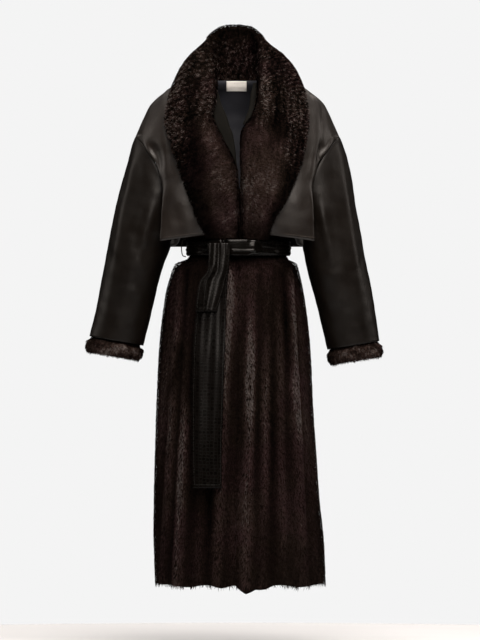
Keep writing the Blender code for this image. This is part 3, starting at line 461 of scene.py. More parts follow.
turned = node(tree, "ShaderNodeValToRGB", {"stops": [(0.43, "#000000"), (0.61, "#FFFFFF")]},
              {0: patches.outputs["Fac"]})
tips = node(tree, "ShaderNodeMix", {"data_type": "RGBA"},
            {0: turned.outputs["Color"], 6: brown.outputs["Color"], 7: red_brown.outputs["Color"]})
# Darker towards the root of each lock: the pile's dark base, together with painted shade down in
# the pile.
depth = node(tree, "ShaderNodeValToRGB",
             {"stops": [(0.0, "#5A5A5A"), (0.5, "#A0A0A0"), (1.0, "#F0F0F0")]},
             {0: split.outputs["Y"]})
whole = node(tree, "ShaderNodeMix", {"data_type": "RGBA", "blend_type": "MULTIPLY", 0: 1.0},
             {6: tips.outputs[2], 7: depth.outputs["Color"]})
join(tree, shader, {"Base Color": whole.outputs[2]})

# The knitted backing with the dense underfur on it: matt and almost black between the locks.
fur_backing = patterned(
    "knitted_backing_with_underfur", {"Roughness": 0.9, "Specular IOR Level": 0.0},
    ("ShaderNodeTexNoise", {"Scale": 260.0, "Detail": 4.0, "Roughness": 0.7}),
    [(0.35, "#0B0807"), (0.7, "#1A1310")], relief=(0.8, 0.003))[0]

# Acetate satin, woven with long floats that catch the light along the warp.
black_satin, tree, shader, spot, _ = patterned(
    "black_acetate_satin",
    {"Roughness": 0.42, "Specular IOR Level": 0.25, "Sheen Weight": 0.03},
    ("ShaderNodeTexNoise", {"Scale": 18.0, "Detail": 2.0}), [(0.3, "#1C1D22"), (0.7, "#24262C")])
# Warp threads are 0.12 mm apart on the real satin. They are drawn at 1.6 mm so that they show.
warp = node(tree, "ShaderNodeTexWave", {"Scale": 196.0, "Distortion": 1.2, "Detail": 1.0,
                                        "bands_direction": "X"}, {"Vector": spot})
weave = node(tree, "ShaderNodeBump", {"Strength": 0.10, "Distance": 0.0005},
             {"Height": warp.outputs["Fac"]})
join(tree, shader, {"Normal": weave.outputs["Normal"]})

DOWN = np.array([0.0, 0.0, -1.0])
BODY_PANELS = {
    "front_left": (lambda z: -side_angle(z),
                   lambda z: ring_angle(between(BODY, z), between(FRONT_EDGES, z)[:, 0]), 71, True),
    "front_right": (lambda z: ring_angle(between(BODY, z), between(FRONT_EDGES, z)[:, 1]),
                    side_angle, 59, False),
    "back": (lambda z: 2 * QUARTER - side_angle(z), lambda z: 2 * QUARTER + side_angle(z), 121,
             False),
}
BODY_LOCKS = {"front_left": 54000, "front_right": 48000, "back": 64000}
FUR_LONG, FUR_WIDE = 0.0120, 0.0015
# Painted shade along long creases that run slantwise from the belt on both sides of the front.
PAINTED_CREASE_SHADE = metres((
    # places across and up, from the top, and half the width
    (((100, -450), (124, -603), (139, -718), (150, -760)), 15),
    (((-140, -640), (-154, -728), (-169, -778), (-186, -828)), 10),
    (((-118, -450), (-120, -560), (-118, -700), (-112, -850)), 20),
))
# Broad places of the front drawn lighter or darker: painted light and painted shade.
PAINTED_LIGHT_PATCHES = metres((
    # across, up, half width, half height, how much lighter
    (165, -850, 50, 350, 0.28),
    (-165, -850, 40, 400, 0.22),
    (-85, -1100, 30, 200, -0.12),
    (-14, -580, 18, 160, 0.22),
    (42, -640, 22, 200, 0.16),
    (88, -1050, 20, 200, -0.14),
), plain=(4,))


# Heights between which the fur grows, apart from the band that the belt covers. Just under the
# belt the pile is pushed outwards, and round the hem it is longer.
FUR_TOP, FUR_ABOVE_HEM = -0.36, 0.006
UNDER_BELT = (-0.440, -0.400)
PUSHED_OUT = -0.462
HEM_FUR, HEM_LONGER = 0.03, 0.45


def shows(points):
    """The fur grows where it can be seen: below the leather and not under the belt."""
    z = points[..., 2]
    return (z < FUR_TOP) & (z > HEM + FUR_ABOVE_HEM) & ~((z > UNDER_BELT[0]) & (z < UNDER_BELT[1]))


# The tips of the fur and the direction out of it, which the collar and the lining need too.
body_tips = {}
for name, (first, last, columns, lapped) in BODY_PANELS.items():
    grid, out, ridge = body_panel(first, last, columns, lapped)
    body_tips[name] = (grid, out)
    skin = grid - out * PILE
    cloth = shell(name + "_backing", name, skin[::2, ::2],
                  (skin - out * BACKING)[::2, ::2], fur_backing, inside=black_satin)
    # Painted highlight on the fold crests and painted shade in their valleys, stronger higher up.
    folded = unit(across(grid) + 0.7 * out)
    around = np.pad(ridge, ((0, 0), (5, 5)), mode="reflect")
    level = sum(around[:, k:k + ridge.shape[1]] for k in range(11)) / 11
    some = 0.8 + 0.40 * ripple(skin * [1, 1, 0.25], 0.14, 8)
    some *= 0.70 + 0.5 * smooth_step((grid[..., 2] + 1.05) / 0.45)
    light = 0.50 + 46 * (ridge - level) * some + 0.16 * ripple(skin * [1, 1, 0.35], 0.12, 5)
    if name != "back":
        # Painted shade along each crease, faded in at its ends.
        for path, half in PAINTED_CREASE_SHADE:
            path = np.array(path)
            line = np.interp(grid[..., 2], path[::-1, 1], path[::-1, 0])
            inside = (smooth_step((path[0, 1] - grid[..., 2]) / 0.03)
                      * smooth_step((grid[..., 2] - path[-1, 1]) / 0.09))
            light = light - 0.4 * inside * np.exp(-((grid[..., 0] - line) / half)**2)
        # Painted light and shade over broad places of the front.
        for x, z, wide, high, more in PAINTED_LIGHT_PATCHES:
            light = light + more * np.exp(-((grid[..., 0] - x) / wide)**2
                                          - ((grid[..., 2] - z) / high)**2)
    light = np.clip(light, 0, 0.95)
    lay = np.where(grid[..., 2:] > PUSHED_OUT, out * 0.7 + DOWN, DOWN)
    near = smooth_step((HEM + HEM_FUR - grid[..., 2]) / HEM_FUR)
    longer = FUR_LONG * (1 + HEM_LONGER * near)
    locks = grow(name + "_fur", skin, folded, lay, light, BODY_LOCKS[name], longer, FUR_WIDE,
                 PILE, keep=shows, sway=13, curl=0.0012, fleck=0.05, seed=len(name))


# The leather layer. On the real coat it is a cropped, boxy overlay of smooth sheep leather with
# dropped shoulders, sewn in at the neck and left free at its hem, which is turned up and
# top-stitched. The sleeves are set in with a plain seam and hang in a few soft, long creases.

LEATHER_THICK = 0.0012
LEATHER_FRONT = metres((
    # height, edge x, y, middle x, y, corner x, y, turn x, y
    (-2, 84, 6, 84.5, 4.5, 85, 3, 85.5, 1.5),
    (-13, 84, 60, 112, 52, 136, 34, 150, 17),
    (-37, 86, 80, 130, 68, 165, 45, 183, 22),
    (-63, 88, 95, 135, 84, 180, 60, 207, 30),
    (-100, 88, 108, 140, 99, 192, 76, 223, 42),
    (-141, 80, 118, 140, 111, 195, 90, 234, 55),
    (-200, 60, 130, 130, 125, 178, 108, 200, 90),
    (-245, 48, 136, 125, 134, 175, 120, 192, 103),
    (-300, 45, 140, 125, 139, 184, 125, 180, 100),
    (-348, 50, 132, 128, 136, 190, 123, 163, 82),
    (-400, 62, 112, 128, 130, 193, 117, 152, 64),
))
LEATHER_BACK = metres((
    (-2, 0, 81, 45, 70, 72, 45, 83, 22),
    (-13, 0, 100, 70, 90, 120, 62, 148, 30),
    (-37, 0, 116, 85, 106, 148, 74, 180, 37),
    (-63, 0, 126, 95, 115, 165, 83, 203, 43),
    (-100, 0, 137, 105, 127, 180, 94, 220, 52),
    (-141, 0, 146, 110, 136, 190, 103, 233, 62),
    (-200, 0, 150, 110, 141, 175, 113, 200, 92),
    (-245, 0, 151, 110, 144, 172, 120, 190, 103),
    (-300, 0, 150, 110, 145, 182, 124, 176, 102),
    (-348, 0, 148, 112, 144, 187, 122, 159, 83),
    (-400, 0, 144, 115, 141, 189, 117, 152, 64),
))
SHOULDER = metres((
    # height, half width
    (-2, 86), (-13, 158), (-22, 172), (-37, 192), (-50, 207), (-63, 219), (-82, 229), (-113, 243),
    (-142, 256),
))
SIDE_SEAM = (0.145, -0.400)
LEATHER_HEM_RISE = 0.019
LEATHER_HEM_DROP = 0.005
LEATHER_HEM_REACH = 0.035
LEATHER_CORNER = 0.19
LEATHER_BACK_DROP = 0.018
LEATHER_BACK_DEPTH = 0.10
SLEEVES = metres({
    "left": (
        # outer x, z, inner x, z, half depth, bow
        (256, -142, 163, -365, 85, 22),
        (266, -172, 164, -384, 85, 16),
        (278, -215, 165, -402, 84, 10),
        (291, -262, 168, -420, 83, 4),
        (305, -315, 178, -446, 81, 0),
        (318, -378, 191, -482, 78, 0),
        (329, -440, 199, -515, 74, 0),
        (345, -527, 212, -570, 67, 0),
        (358, -592, 225, -622, 61, 0),
        (371, -643, 236, -667, 56, 0),
    ),
    "right": (
        (256, -142, 163, -365, 85, 22),
        (267, -172, 164, -384, 85, 16),
        (278, -215, 164, -402, 84, 10),
        (289, -265, 163, -420, 83, 4),
        (297, -320, 167, -442, 81, 0),
        (310, -390, 176, -482, 78, 0),
        (320, -445, 185, -516, 74, 0),
        (336, -527, 200, -571, 67, 0),
        (347, -592, 213, -625, 61, 0),
        (356, -655, 225, -677, 56, 0),
    ),
})
SIGN = {"left": -1, "right": 1}

# Creases: the path of each one, how far it stands out (or goes in), its half width, and how far
# behind a point of the leather may lie from it. Paths are points of x, y, z.
FRONT_CREASES = metres({
    "left": (
        (((-176, -20, -30), (-181, -50, -75), (-181, -75, -130), (-176, -95, -190),
          (-172, -110, -240)), 7.5, 12),
        (((-196, -15, -60), (-203, -40, -105), (-203, -70, -160), (-200, -90, -200)), -6, 14),
        (((-228, -55, -158), (-210, -85, -205), (-196, -103, -248)), 6, 8),
        (((-150, -130, -290), (-130, -136, -340), (-120, -136, -395)), 2, 20),
        (((-185, -118, -270), (-180, -122, -330), (-184, -120, -395)), -2, 14),
    ),
    "right": (
        (((214, -28, -66), (207, -62, -120), (206, -85, -180), (207, -95, -205)), -6, 7),
        (((196, -30, -50), (192, -65, -110), (190, -90, -180), (186, -110, -240)), 4.5, 12),
        (((238, -48, -148), (222, -75, -182), (212, -93, -208)), 6, 8),
        (((160, -120, -240), (150, -130, -300), (140, -136, -380)), 1.5, 20),
    ),
})
BACK_CREASES = metres((
    (((-200, 50, -90), (-185, 90, -150), (-170, 115, -215)), 6, 12),
    (((200, 50, -90), (186, 90, -155), (172, 115, -225)), 6, 12),
    (((-120, 138, -200), (-100, 143, -290), (-92, 144, -390)), 4, 20),
    (((110, 138, -190), (104, 143, -280), (98, 144, -390)), 3.5, 20),
    (((10, 147, -180), (6, 151, -280), (10, 149, -390)), 3, 22),
    (((-228, 60, -155), (-205, 90, -205), (-190, 105, -250)), 5, 8),
    (((228, 60, -155), (205, 90, -205), (190, 105, -250)), 5, 8),
))
SLEEVE_CREASES = metres({
    "left": (
        (((-248, -40, -170), (-268, -50, -260), (-288, -50, -380), (-308, -42, -520),
          (-322, -36, -630)), 4.5, 16),
        (((-205, -75, -290), (-225, -82, -370), (-245, -78, -450)), 5, 14),
        (((-180, -55, -400), (-210, -78, -425), (-250, -80, -430)), -1.6, 16),
        (((-192, -50, -450), (-225, -72, -475), (-262, -74, -470)), 1.8, 18),
        (((-208, -45, -520), (-240, -64, -540), (-272, -66, -530)), 1.4, 16),
        (((-330, -30, -430), (-310, -60, -455), (-285, -72, -462)), -1.4, 16),
        (((-350, -25, -560), (-330, -48, -585), (-305, -60, -592)), 1.2, 15),
        (((-230, 60, -330), (-250, 78, -420), (-270, 74, -520)), 5, 15),
        (((-290, 50, -300), (-300, 60, -420), (-322, 52, -560)), 4, 14),
        (((-195, 50, -440), (-230, 74, -462), (-268, 76, -456)), -1.6, 16),
    ),
    "right": (
        (((246, -40, -170), (262, -50, -260), (280, -52, -380), (298, -44, -520),
          (312, -36, -640)), 4.5, 16),
        (((205, -75, -290), (218, -83, -370), (236, -78, -460)), 5, 14),
        (((170, -55, -410), (200, -78, -432), (240, -80, -436)), -1.6, 16),
        (((182, -50, -470), (214, -72, -490), (250, -74, -484)), 1.8, 18),
        (((200, -45, -545), (232, -63, -560), (262, -66, -552)), 1.4, 16),
        (((322, -30, -450), (302, -60, -474), (278, -72, -480)), -1.4, 16),
        (((338, -25, -590), (318, -46, -612), (294, -58, -620)), 1.2, 15),
        (((226, 60, -330), (242, 78, -420), (262, 74, -520)), 5, 15),
        (((286, 50, -300), (296, 60, -420), (316, 52, -560)), 4, 14),
        (((188, 50, -450), (222, 74, -472), (260, 76, -466)), -1.6, 16),
    ),
})


def curve_through(points, steps):
    """A smooth curve through rows of points (rows, points, 3), with these steps per span."""
    through = np.concatenate([2 * points[:, :1] - points[:, 1:2], points,
                              2 * points[:, -1:] - points[:, -2:-1]], 1)
    made = []
    for i, count in enumerate(steps):
        p0, p1, p2, p3 = (through[:, i + k, None] for k in range(4))
        t = (np.arange(count) / count)[None, :, None]
        made.append(0.5 * (2 * p1 + (p2 - p0) * t + (2 * p0 - 5 * p1 + 4 * p2 - p3) * t**2
                           + (3 * p1 - p0 - 3 * p2 + p3) * t**3))
    return np.concatenate(made + [points[:, -1:]], 1)


def sleeve_rings(table, side, rows, turns, out=0.0):
    """Rings of a sleeve. Each starts at its top and runs round by the front."""
    place = np.linspace(0, len(table) - 1, rows)
    values = between([(k, *row) for k, row in enumerate(table)], place)
    sign = SIGN[side]
    zero = np.zeros(rows)
    outer = np.stack([sign * values[:, 0], zero, values[:, 1]], -1)[:, None]
    inner = np.stack([sign * values[:, 2], zero, values[:, 3]], -1)[:, None]
    depth, bow = values[:, 4, None], values[:, 5, None]
    half = (outer - inner) / 2
    length = np.linalg.norm(half, axis=-1)
    turn = 2 * math.pi * turns
    way = unit(np.stack([-sign * half[..., 2], 0 * half[..., 0], sign * half[..., 0]], -1))
    ring_points = (outer + inner) / 2 + half * (np.cos(turn) * (1 + out / length))[..., None]
    ring_points[..., 1] -= (depth + out) * np.sin(turn)
    return ring_points + way * (bow * np.sin(turn)**2)[..., None]


def leather_rows(table, side, face):
    """A leather panel: a grid of level rows, from the neck over the armhole down to the hem."""
    sign = SIGN[side]
    top = np.linspace(-0.002, -0.136, 22)
    ends = [np.stack([sign * between(SHOULDER, top)[:, 0], 0 * top, top], -1)]
    turns = np.linspace(0, 0.5, 46)
    ends.append(sleeve_rings(SLEEVES[side][:2], side, 2, turns if face < 0 else -turns)[0])
    below = np.linspace(0, 1, 7)[1:, None]
    armpit = ends[1][-1]
    ends.append(armpit + below * (np.array([sign * SIDE_SEAM[0], 0, SIDE_SEAM[1]]) - armpit))
    ends = np.concatenate(ends)
    values = between(table, ends[:, 2])
    points = np.stack([np.stack([sign * values[:, k], face * values[:, k + 1], ends[:, 2]], -1)
                       for k in range(0, 8, 2)] + [ends], 1)
    grid = curve_through(points, (14, 14, 14, 12))
    # The sharp turn at the armhole's top stays beside the seam and doesn't mark the panel.
    z = grid[:, 0, 2]
    weight = np.exp(-((z[:, None] - z) / 0.010)**2) * -np.gradient(z)
    even = np.einsum("ij,jkl->ikl", weight / weight.sum(1, keepdims=True), grid[..., :2])
    near = bump((z + 0.145) / 0.06)[:, None] * (1 - smooth_step((np.arange(55) - 38) / 15))
    grid[..., :2] += near[..., None] * (even - grid[..., :2])
    near = smooth_step((SIDE_SEAM[1] + LEATHER_HEM_REACH - grid[..., 2]) / LEATHER_HEM_REACH)
    if face < 0:
        reach = np.clip(abs(grid[..., 0]) / LEATHER_CORNER, 0, 1)
        grid[..., 2] += near * (LEATHER_HEM_RISE * (1 - reach) - LEATHER_HEM_DROP * reach)
    else:
        grid[..., 2] -= near * LEATHER_BACK_DROP * smooth_step(grid[..., 1] / LEATHER_BACK_DEPTH)
    return grid


def crease(grid, out, creases):
    """Raises or sinks a grid along soft creases that run out at both ends."""
    total = np.zeros(grid.shape[:2])
    for path, high, half in creases:
        path = curve_through(np.array([path]), [24] * (len(path) - 1))[0]
        away = np.linalg.norm(grid[:, :, None] - path, axis=-1)
        nearest = away.argmin(-1)
        along = nearest / (len(path) - 1)
        profile = np.exp(-(away.min(-1) / half)**2) - 0.35 * np.exp(-(away.min(-1) / half / 2)**2)
        total += 1.5 * high * profile * np.sin(math.pi * np.clip(along, 0.04, 0.96))**0.6
    return grid + out * total[..., None]


def stitches(name, path, out, size, thread):
    """A row of top stitches along a path of points. Size is their pitch, length and thickness."""
    pitch, long, thick = size
    steps = np.linalg.norm(np.diff(path, axis=0), axis=1)
    run = np.concatenate([[0], np.cumsum(steps)])
    places = np.arange(pitch / 2, run[-1] - pitch / 2, pitch)
    points, faces = [], []
    for place in places:
        ends = [np.array([np.interp(place + d * long / 2, run, path[:, k]) for k in range(3)])
                for d in (-1, -0.6, 0.6, 1)]
        up = unit(np.array([np.interp(place, run, out[:, k]) for k in range(3)]))
        side = unit(np.cross(ends[3] - ends[0], up))
        first = len(points)
        for end, full in zip(ends, (0.35, 1, 1, 0.35)):
            for q in range(6):
                turn = q * math.pi / 3
                points.append(end + up * (thick * (0.1 + 0.5 * full * math.sin(turn)))
                              + side * (thick * 0.5 * full * math.cos(turn)))
        faces += tube(4, 6, first)
    return solid(name, points, faces, thread)


# Smooth drum-dyed sheep leather with a thin satin finish: a soft broad sheen on the folds, fine
# pores, faint stretch lines and slight changes of gloss where it has been handled.
smooth_leather, tree, shader, spot, hide_tone = patterned(
    "smooth_drum_dyed_sheep_leather",
    {"IOR": 1.5, "Specular IOR Level": 0.42, "Coat Weight": 0.03, "Coat Roughness": 0.35},
    ("ShaderNodeTexNoise", {"Scale": 9.0, "Detail": 5.0, "Roughness": 0.6}),
    [(0.30, "#100B08"), (0.70, "#17110D")])
# Pores are about 0.5 mm apart on such leather. They are drawn at 1.5 mm, to show at all.
pores = node(tree, "ShaderNodeTexVoronoi", {"Scale": 650.0, "Randomness": 0.9}, {"Vector": spot})
wrinkles = node(tree, "ShaderNodeTexNoise", {"Scale": 38.0, "Detail": 7.0, "Roughness": 0.66,
                                             "Distortion": 0.5}, {"Vector": spot})
height = node(tree, "ShaderNodeMath", {"operation": "MULTIPLY_ADD", 1: 0.25},
              {0: pores.outputs["Distance"], 2: wrinkles.outputs["Fac"]})
skin_bump = node(tree, "ShaderNodeBump", {"Strength": 0.30, "Distance": 0.0022},
                 {"Height": height.outputs["Value"]})
handled = node(tree, "ShaderNodeTexNoise", {"Scale": 22.0, "Detail": 4.0}, {"Vector": spot})
gloss = node(tree, "ShaderNodeMapRange", {1: 0.3, 2: 0.7, 3: 0.34, 4: 0.46},
             {0: handled.outputs["Fac"]})
join(tree, shader, {"Normal": skin_bump.outputs["Normal"], "Roughness": gloss.outputs["Result"]})


def again(material, name, changes, ramp=None, colours=()):
    """A copy of a material with other values at some of its nodes' inputs, and other tones."""
    made = material.copy()
    made.name = name
    nodes = made.node_tree.nodes
    for (changed, socket), value in changes.items():
        nodes[changed].inputs[socket].default_value = value
    if ramp:
        for element, colour in zip(nodes[ramp.name].color_ramp.elements, colours):
            element.color = linear(colour)
    return made


# The sleeves get a darker copy of the leather with weaker specular: painted shade.
shaded_sleeve_leather = again(smooth_leather, "sheep_leather_with_painted_shade",
                       {("Principled BSDF", "Specular IOR Level"): 0.20},
                       hide_tone, ("#0A0705", "#100C09"))

# The flesh side of the leather: matt, napped and a little lighter.
suede_side = patterned("napped_flesh_side_of_leather", {"Roughness": 0.95},
                       ("ShaderNodeTexNoise", {"Scale": 300.0, "Detail": 3.0}),
                       [(0.3, "#120E0C"), (0.7, "#1E1815")])[0]

# Bonded polyester thread, one tone lighter than the leather and slightly glossy.
top_thread, *_, plied = patterned("bonded_polyester_thread", {"Roughness": 0.45},
                                  ("ShaderNodeTexWave", {"Scale": 400.0, "Distortion": 2.0}),
                                  [(0.2, "#2A241F"), (0.8, "#5A5048")])

fronts = {side: leather_rows(LEATHER_FRONT, side, -1) for side in SIGN}
backs = {side: leather_rows(LEATHER_BACK, side, 1) for side in SIGN}
whole_back = np.concatenate([backs["left"][:, ::-1], backs["right"][:, 1:]], 1)
sleeves = {side: sleeve_rings(SLEEVES[side], side, 120, np.arange(84) / 84) for side in SIGN}


def closed_across(grid, sign):
    """The direction out of a grid that closes on itself around."""
    wide = np.concatenate([grid[:, -2:], grid, grid[:, :2]], 1)
    return across(wide, sign)[:, 2:-2]


# Pitch, length and thickness of a stitch, how far its row is above the hem, and how wide and how
# deep the leather sinks in beside a sewn seam.
HEM_STITCH = (0.0042, 0.0030, 0.0007)
HEM_STITCH_UP = 0.008
SEAM_RUN, SEAM_SINK = 0.004, 0.0012


def hide(name, grid, out, creases, leather, seams, hem=None, around=False):
    """A leather piece with its creases and slack. Its seams sink in and its hem is stitched."""
    shaped = crease(grid, out, creases)
    rows = []
    if hem:
        up = shaped[-1] + unit(shaped[-4] - shaped[-1]) * HEM_STITCH_UP
        rows = [stitches(name + "_hem_stitches", up[hem], out[-1][hem], HEM_STITCH, top_thread)]
    slack = 0.0011 * ripple(grid, 0.11, 3) + 0.0005 * ripple(grid, 0.035, 4)
    shaped = shaped + out * slack[..., None]
    sunk = np.max([np.exp(-(np.linalg.norm(shaped - shaped[seam], axis=-1) / SEAM_RUN)**2)
                   for seam in seams], 0)
    shaped = shaped - out * (SEAM_SINK * sunk)[..., None]
    piece = shell(name + "_skin", name, shaped, shaped - out * LEATHER_THICK,
                  leather, around, suede_side)


for side, sign in SIGN.items():
    hide(f"leather_front_{side}", fronts[side], across(fronts[side], sign), FRONT_CREASES[side],
         smooth_leather, [np.s_[:, -1:]], hem=np.s_[:-4])
    hide(f"sleeve_{side}", sleeves[side], closed_across(sleeves[side], -sign),
         SLEEVE_CREASES[side], shaded_sleeve_leather, [np.s_[:1]], around=True)
hide("leather_back", whole_back, across(whole_back, -1), BACK_CREASES, smooth_leather,
     [np.s_[:, :1], np.s_[:, -1:]], hem=np.s_[4:-4])


# The fur cuffs. On the real coat the fur body's own sleeves show below the leather ones, as a
# ring of the same fur with its pile combed down, turned in at the lower edge.

CUFF = metres((
    # run past the sleeve's end, distance out from the sleeve's face
    (-24, -3.2), (1.5, -3.2), (9, 1.5), (24, 4), (34, 1),
))
CUFF_BACK = 0.0085
# The fur starts just under the leather and ends at the turn of the lower edge.
CUFF_FUR = (-0.004, 0.030)
CUFF_LOCKS = 9000

for side, sign in SIGN.items():
    before, last = (np.array(row) for row in SLEEVES[side][-2:])
    way = unit(np.array([sign * (last[0] + last[2] - before[0] - before[2]), 0,
                         last[1] + last[3] - before[1] - before[3]]))
    runs = np.linspace(CUFF[0][0], CUFF[-1][0], 26)
    grid = np.stack([sleeve_rings(SLEEVES[side][-2:], side, 2, np.arange(72) / 72, stand)[-1]
                     + way * run for run, stand in zip(runs, between(CUFF, runs)[:, 0])])
    out = closed_across(grid, -sign)
    skin = grid - out * PILE
    cloth = shell(f"cuff_{side}_backing", f"cuff_{side}", skin,
                  grid - out * CUFF_BACK, fur_backing, True, black_satin)
    wide = np.concatenate([skin, skin[:, :1]], 1)
    wide_out = np.concatenate([out, out[:, :1]], 1)
    end = np.array([sign * last[0], 0, last[1]])
    locks = grow(f"cuff_{side}_fur", wide, wide_out, np.broadcast_to(way, wide.shape),
                 0.60 + 0.25 * ripple(wide, 0.03, 6), CUFF_LOCKS, FUR_LONG, FUR_WIDE, PILE,
                 sway=24, curl=0.002, seed=41 + sign,
                 keep=lambda p: ((p - end) @ way > CUFF_FUR[0]) & ((p - end) @ way < CUFF_FUR[1]))


# The shawl collar. On the real coat it is cut from the same faux fur in two halves, seamed at the
# back neck and rolled over, so fur shows on its stand, its fall and both lapels. Its pile is
# fluffed up along the roll, where it parts and curls, and scattered light locks there are painted
# glints.

COLLARS = metres({
    "left": (
        # seam x, y, z, roll x, y, z, edge x, y, z, bend, puff, fold
        (0, 64, 1, 0, 84, 141, 0, 150, -60, 15, 10, 0),
        (-30, 60, 1, -34, 76, 138, -70, 146, -62, 15, 11, 0),
        (-52, 46, 1, -58, 52, 121, -128, 110, -45, 15, 16, 0),
        (-64, 26, 1, -66, 24, 98, -150, 60, -16, 15, 16, 0),
        (-68, 2, 3, -64, -6, 74, -156, 0, -2, 14, 18, 2),
        (-68, -26, 3, -56, -36, 42, -161, -40, -28, 14, 17, 4),
        (-66, -56, -22, -50, -72, 2, -166, -60, -50, 14, 15, 6),
        (-72, -80, -66, -52, -100, -44, -169, -70, -80, 14, 13, 7),
        (-76, -90, -98, -60, -116, -90, -170, -80, -106, 14, 13, 8),
        (-66, -100, -130, -46, -128, -130, -168, -90, -134, 13, 12, 8),
        (-42, -108, -178, -20, -140, -178, -154, -110, -178, 13, 12, 8),
        (-24, -112, -228, 0, -146, -228, -140, -125, -228, 13, 12, 8),
        (-22, -112, -300, 3, -142, -300, -115, -135, -300, 13, 11, 7),
        (-22, -104, -352, 4, -132, -352, -98, -135, -352, 12, 10, 5),
        (-22, -96, -396, 4, -116, -396, -80, -118, -396, 10.5, 5, 3),
    ),
    "right": (
        (0, 64, 1, 0, 84, 141, 0, 150, -60, 15, 10, 0),
        (30, 60, 1, 32, 76, 136, 70, 146, -62, 15, 11, 0),
        (52, 46, 1, 50, 52, 118, 126, 110, -45, 15, 16, 0),
        (64, 26, 1, 57, 24, 98, 150, 60, -16, 15, 16, 0),
        (68, 2, 3, 56, -6, 74, 157, 0, -2, 14, 21, 4),
        (68, -26, 3, 51, -36, 42, 161, -40, -28, 14, 18, 8),
        (66, -56, -22, 48, -72, 2, 165, -60, -50, 14, 17, 10),
        (70, -80, -66, 47, -100, -44, 167, -70, -80, 14, 15, 12),
        (58, -90, -96, 36, -118, -88, 168, -80, -106, 14, 13, 12),
        (34, -100, -130, 10, -130, -128, 166, -90, -134, 13, 12, 11),
        (30, -108, -178, 6, -140, -178, 160, -110, -178, 13, 12, 8),
        (32, -112, -228, 7, -146, -228, 149, -125, -228, 13, 12, 5),
        (34, -112, -300, 9, -142, -300, 120, -135, -300, 13, 11, 4),
        (34, -104, -352, 10, -132, -352, 90, -135, -352, 12, 10, 3),
        (34, -96, -396, 10, -116, -396, 74, -118, -396, 10.5, 5, 2),
    ),
})
COLLAR_FALL = ((0.20, 0.75), (0.42, 1.0), (0.66, 0.8), (0.86, 0.4))
COLLAR_FOLD_AT = (7, 8, 9)
COLLAR_FOLD_DEPTH = (0.3, 1.0, 0.4)
COLLAR_FUR = 0.009
COLLAR_LIFT = 0.004
COLLAR_CLEAR = 0.006
NECK_TOP = -0.005
OUTWARD_RISE = 0.02
TOUCHING = 0.0005
COLLAR_PILE, COLLAR_BACK = 0.0045, 0.009
COLLAR_LONG, COLLAR_WIDE = 0.0092, 0.0016
COLLAR_LOCKS = 57000
COLLAR_ROLL_COLUMNS = 17


def surface_of(grid):
    """A surface through a grid that can be asked for its nearest point."""
    return BVHTree.FromPolygons(grid.reshape(-1, 3).tolist(), net(*grid.shape[:2]))


def lift(point, tree, distance):
    """The place this far off a surface, straight out of it from its nearest point."""
    near, direction, _, _ = tree.find_nearest(point)
    near, direction = np.array(near), np.array(direction)
    away = point - near
    outward = np.array([near[0], near[1], OUTWARD_RISE])
    if np.linalg.norm(away) < TOUCHING or away @ outward < 0:
        away = direction if direction @ outward > 0 else -direction
    return near + unit(away) * distance


def collar_section(row, side):
    """The fur face of the collar at one station: up from the seam, over the roll, down the fall."""
    seam, roll, edge = (np.array(row[k:k + 3]) for k in (0, 3, 6))
    bend, puff, fold = row[9:12]
    if seam[2] < NECK_TOP:
        seam = lift(seam, under[side], COLLAR_CLEAR)
    edge = lift(edge, over[side] if edge[1] < 0 else behind, COLLAR_FUR + COLLAR_LIFT)
    upward = unit(roll - (seam + edge) / 2)
    outward = edge - seam
    outward = unit(outward - upward * (outward @ upward))
    middle = roll - upward * bend
    turn = [middle + bend * (upward * math.sin(t * QUARTER) - outward * math.cos(t * QUARTER))
            for t in (0, 0.5, 1, 1.5, 2)]
    fall = [turn[-1] + (edge - turn[-1]) * along + outward * puff * stand
            for along, stand in COLLAR_FALL]
    points = [seam, (seam + turn[0]) / 2] + turn + fall + [edge]
    for k, depth in zip(COLLAR_FOLD_AT, COLLAR_FOLD_DEPTH):
        points[k] = points[k] - outward * fold * depth
    return points


# Painted light and shade across the collar's front: at each height, the places from the centre
# line outwards, and how light the pile is drawn there.
COLLAR_PAINTED_LIGHT = metres({
    "left": (
        # height, inner edge x, light, face x, light, line x, light, band x, light
        (60, 50, 0.32, 75, 0.28, 100, 0.27, 130, 0.38),
        (0, 48, 0.36, 80, 0.38, 112, 0.1, 150, 0.46),
        (-80, 45, 0.48, 80, 0.46, 118, 0.04, 148, 0.42),
        (-140, 30, 0.55, 70, 0.7, 116, 0.04, 146, 0.32),
        (-180, 15, 0.56, 60, 0.68, 106, 0.06, 138, 0.06),
        (-250, 4, 0.66, 56, 0.66, 98, 0.1, 122, 0.04),
        (-300, 1, 0.72, 50, 0.7, 86, 0.12, 105, 0.04),
        (-345, 0, 0.75, 40, 0.72, 80, 0.14, 95, 0.04),
        (-400, 0, 0.5, 30, 0.45, 74, 0.1, 90, 0.04),
    ),
    "right": (
        (60, 50, 0.35, 62, 0.35, 80, 0.05, 130, 0.2),
        (0, 48, 0.3, 66, 0.55, 90, 0.0, 135, 0.3),
        (-80, 40, 0.3, 70, 0.58, 96, 0.0, 130, 0.34),
        (-130, 14, 0.5, 62, 0.6, 92, 0.1, 140, 0.22),
        (-180, 6, 0.6, 52, 0.62, 96, 0.66, 148, 0.1),
        (-250, 5, 0.78, 40, 0.72, 90, 0.72, 128, 0.08),
        (-300, 5, 0.8, 30, 0.72, 74, 0.78, 108, 0.06),
        (-345, 4, 0.75, 24, 0.68, 62, 0.7, 92, 0.05),
        (-400, 4, 0.5, 22, 0.4, 52, 0.35, 80, 0.05),
    ),
}, plain=(2, 4, 6, 8))


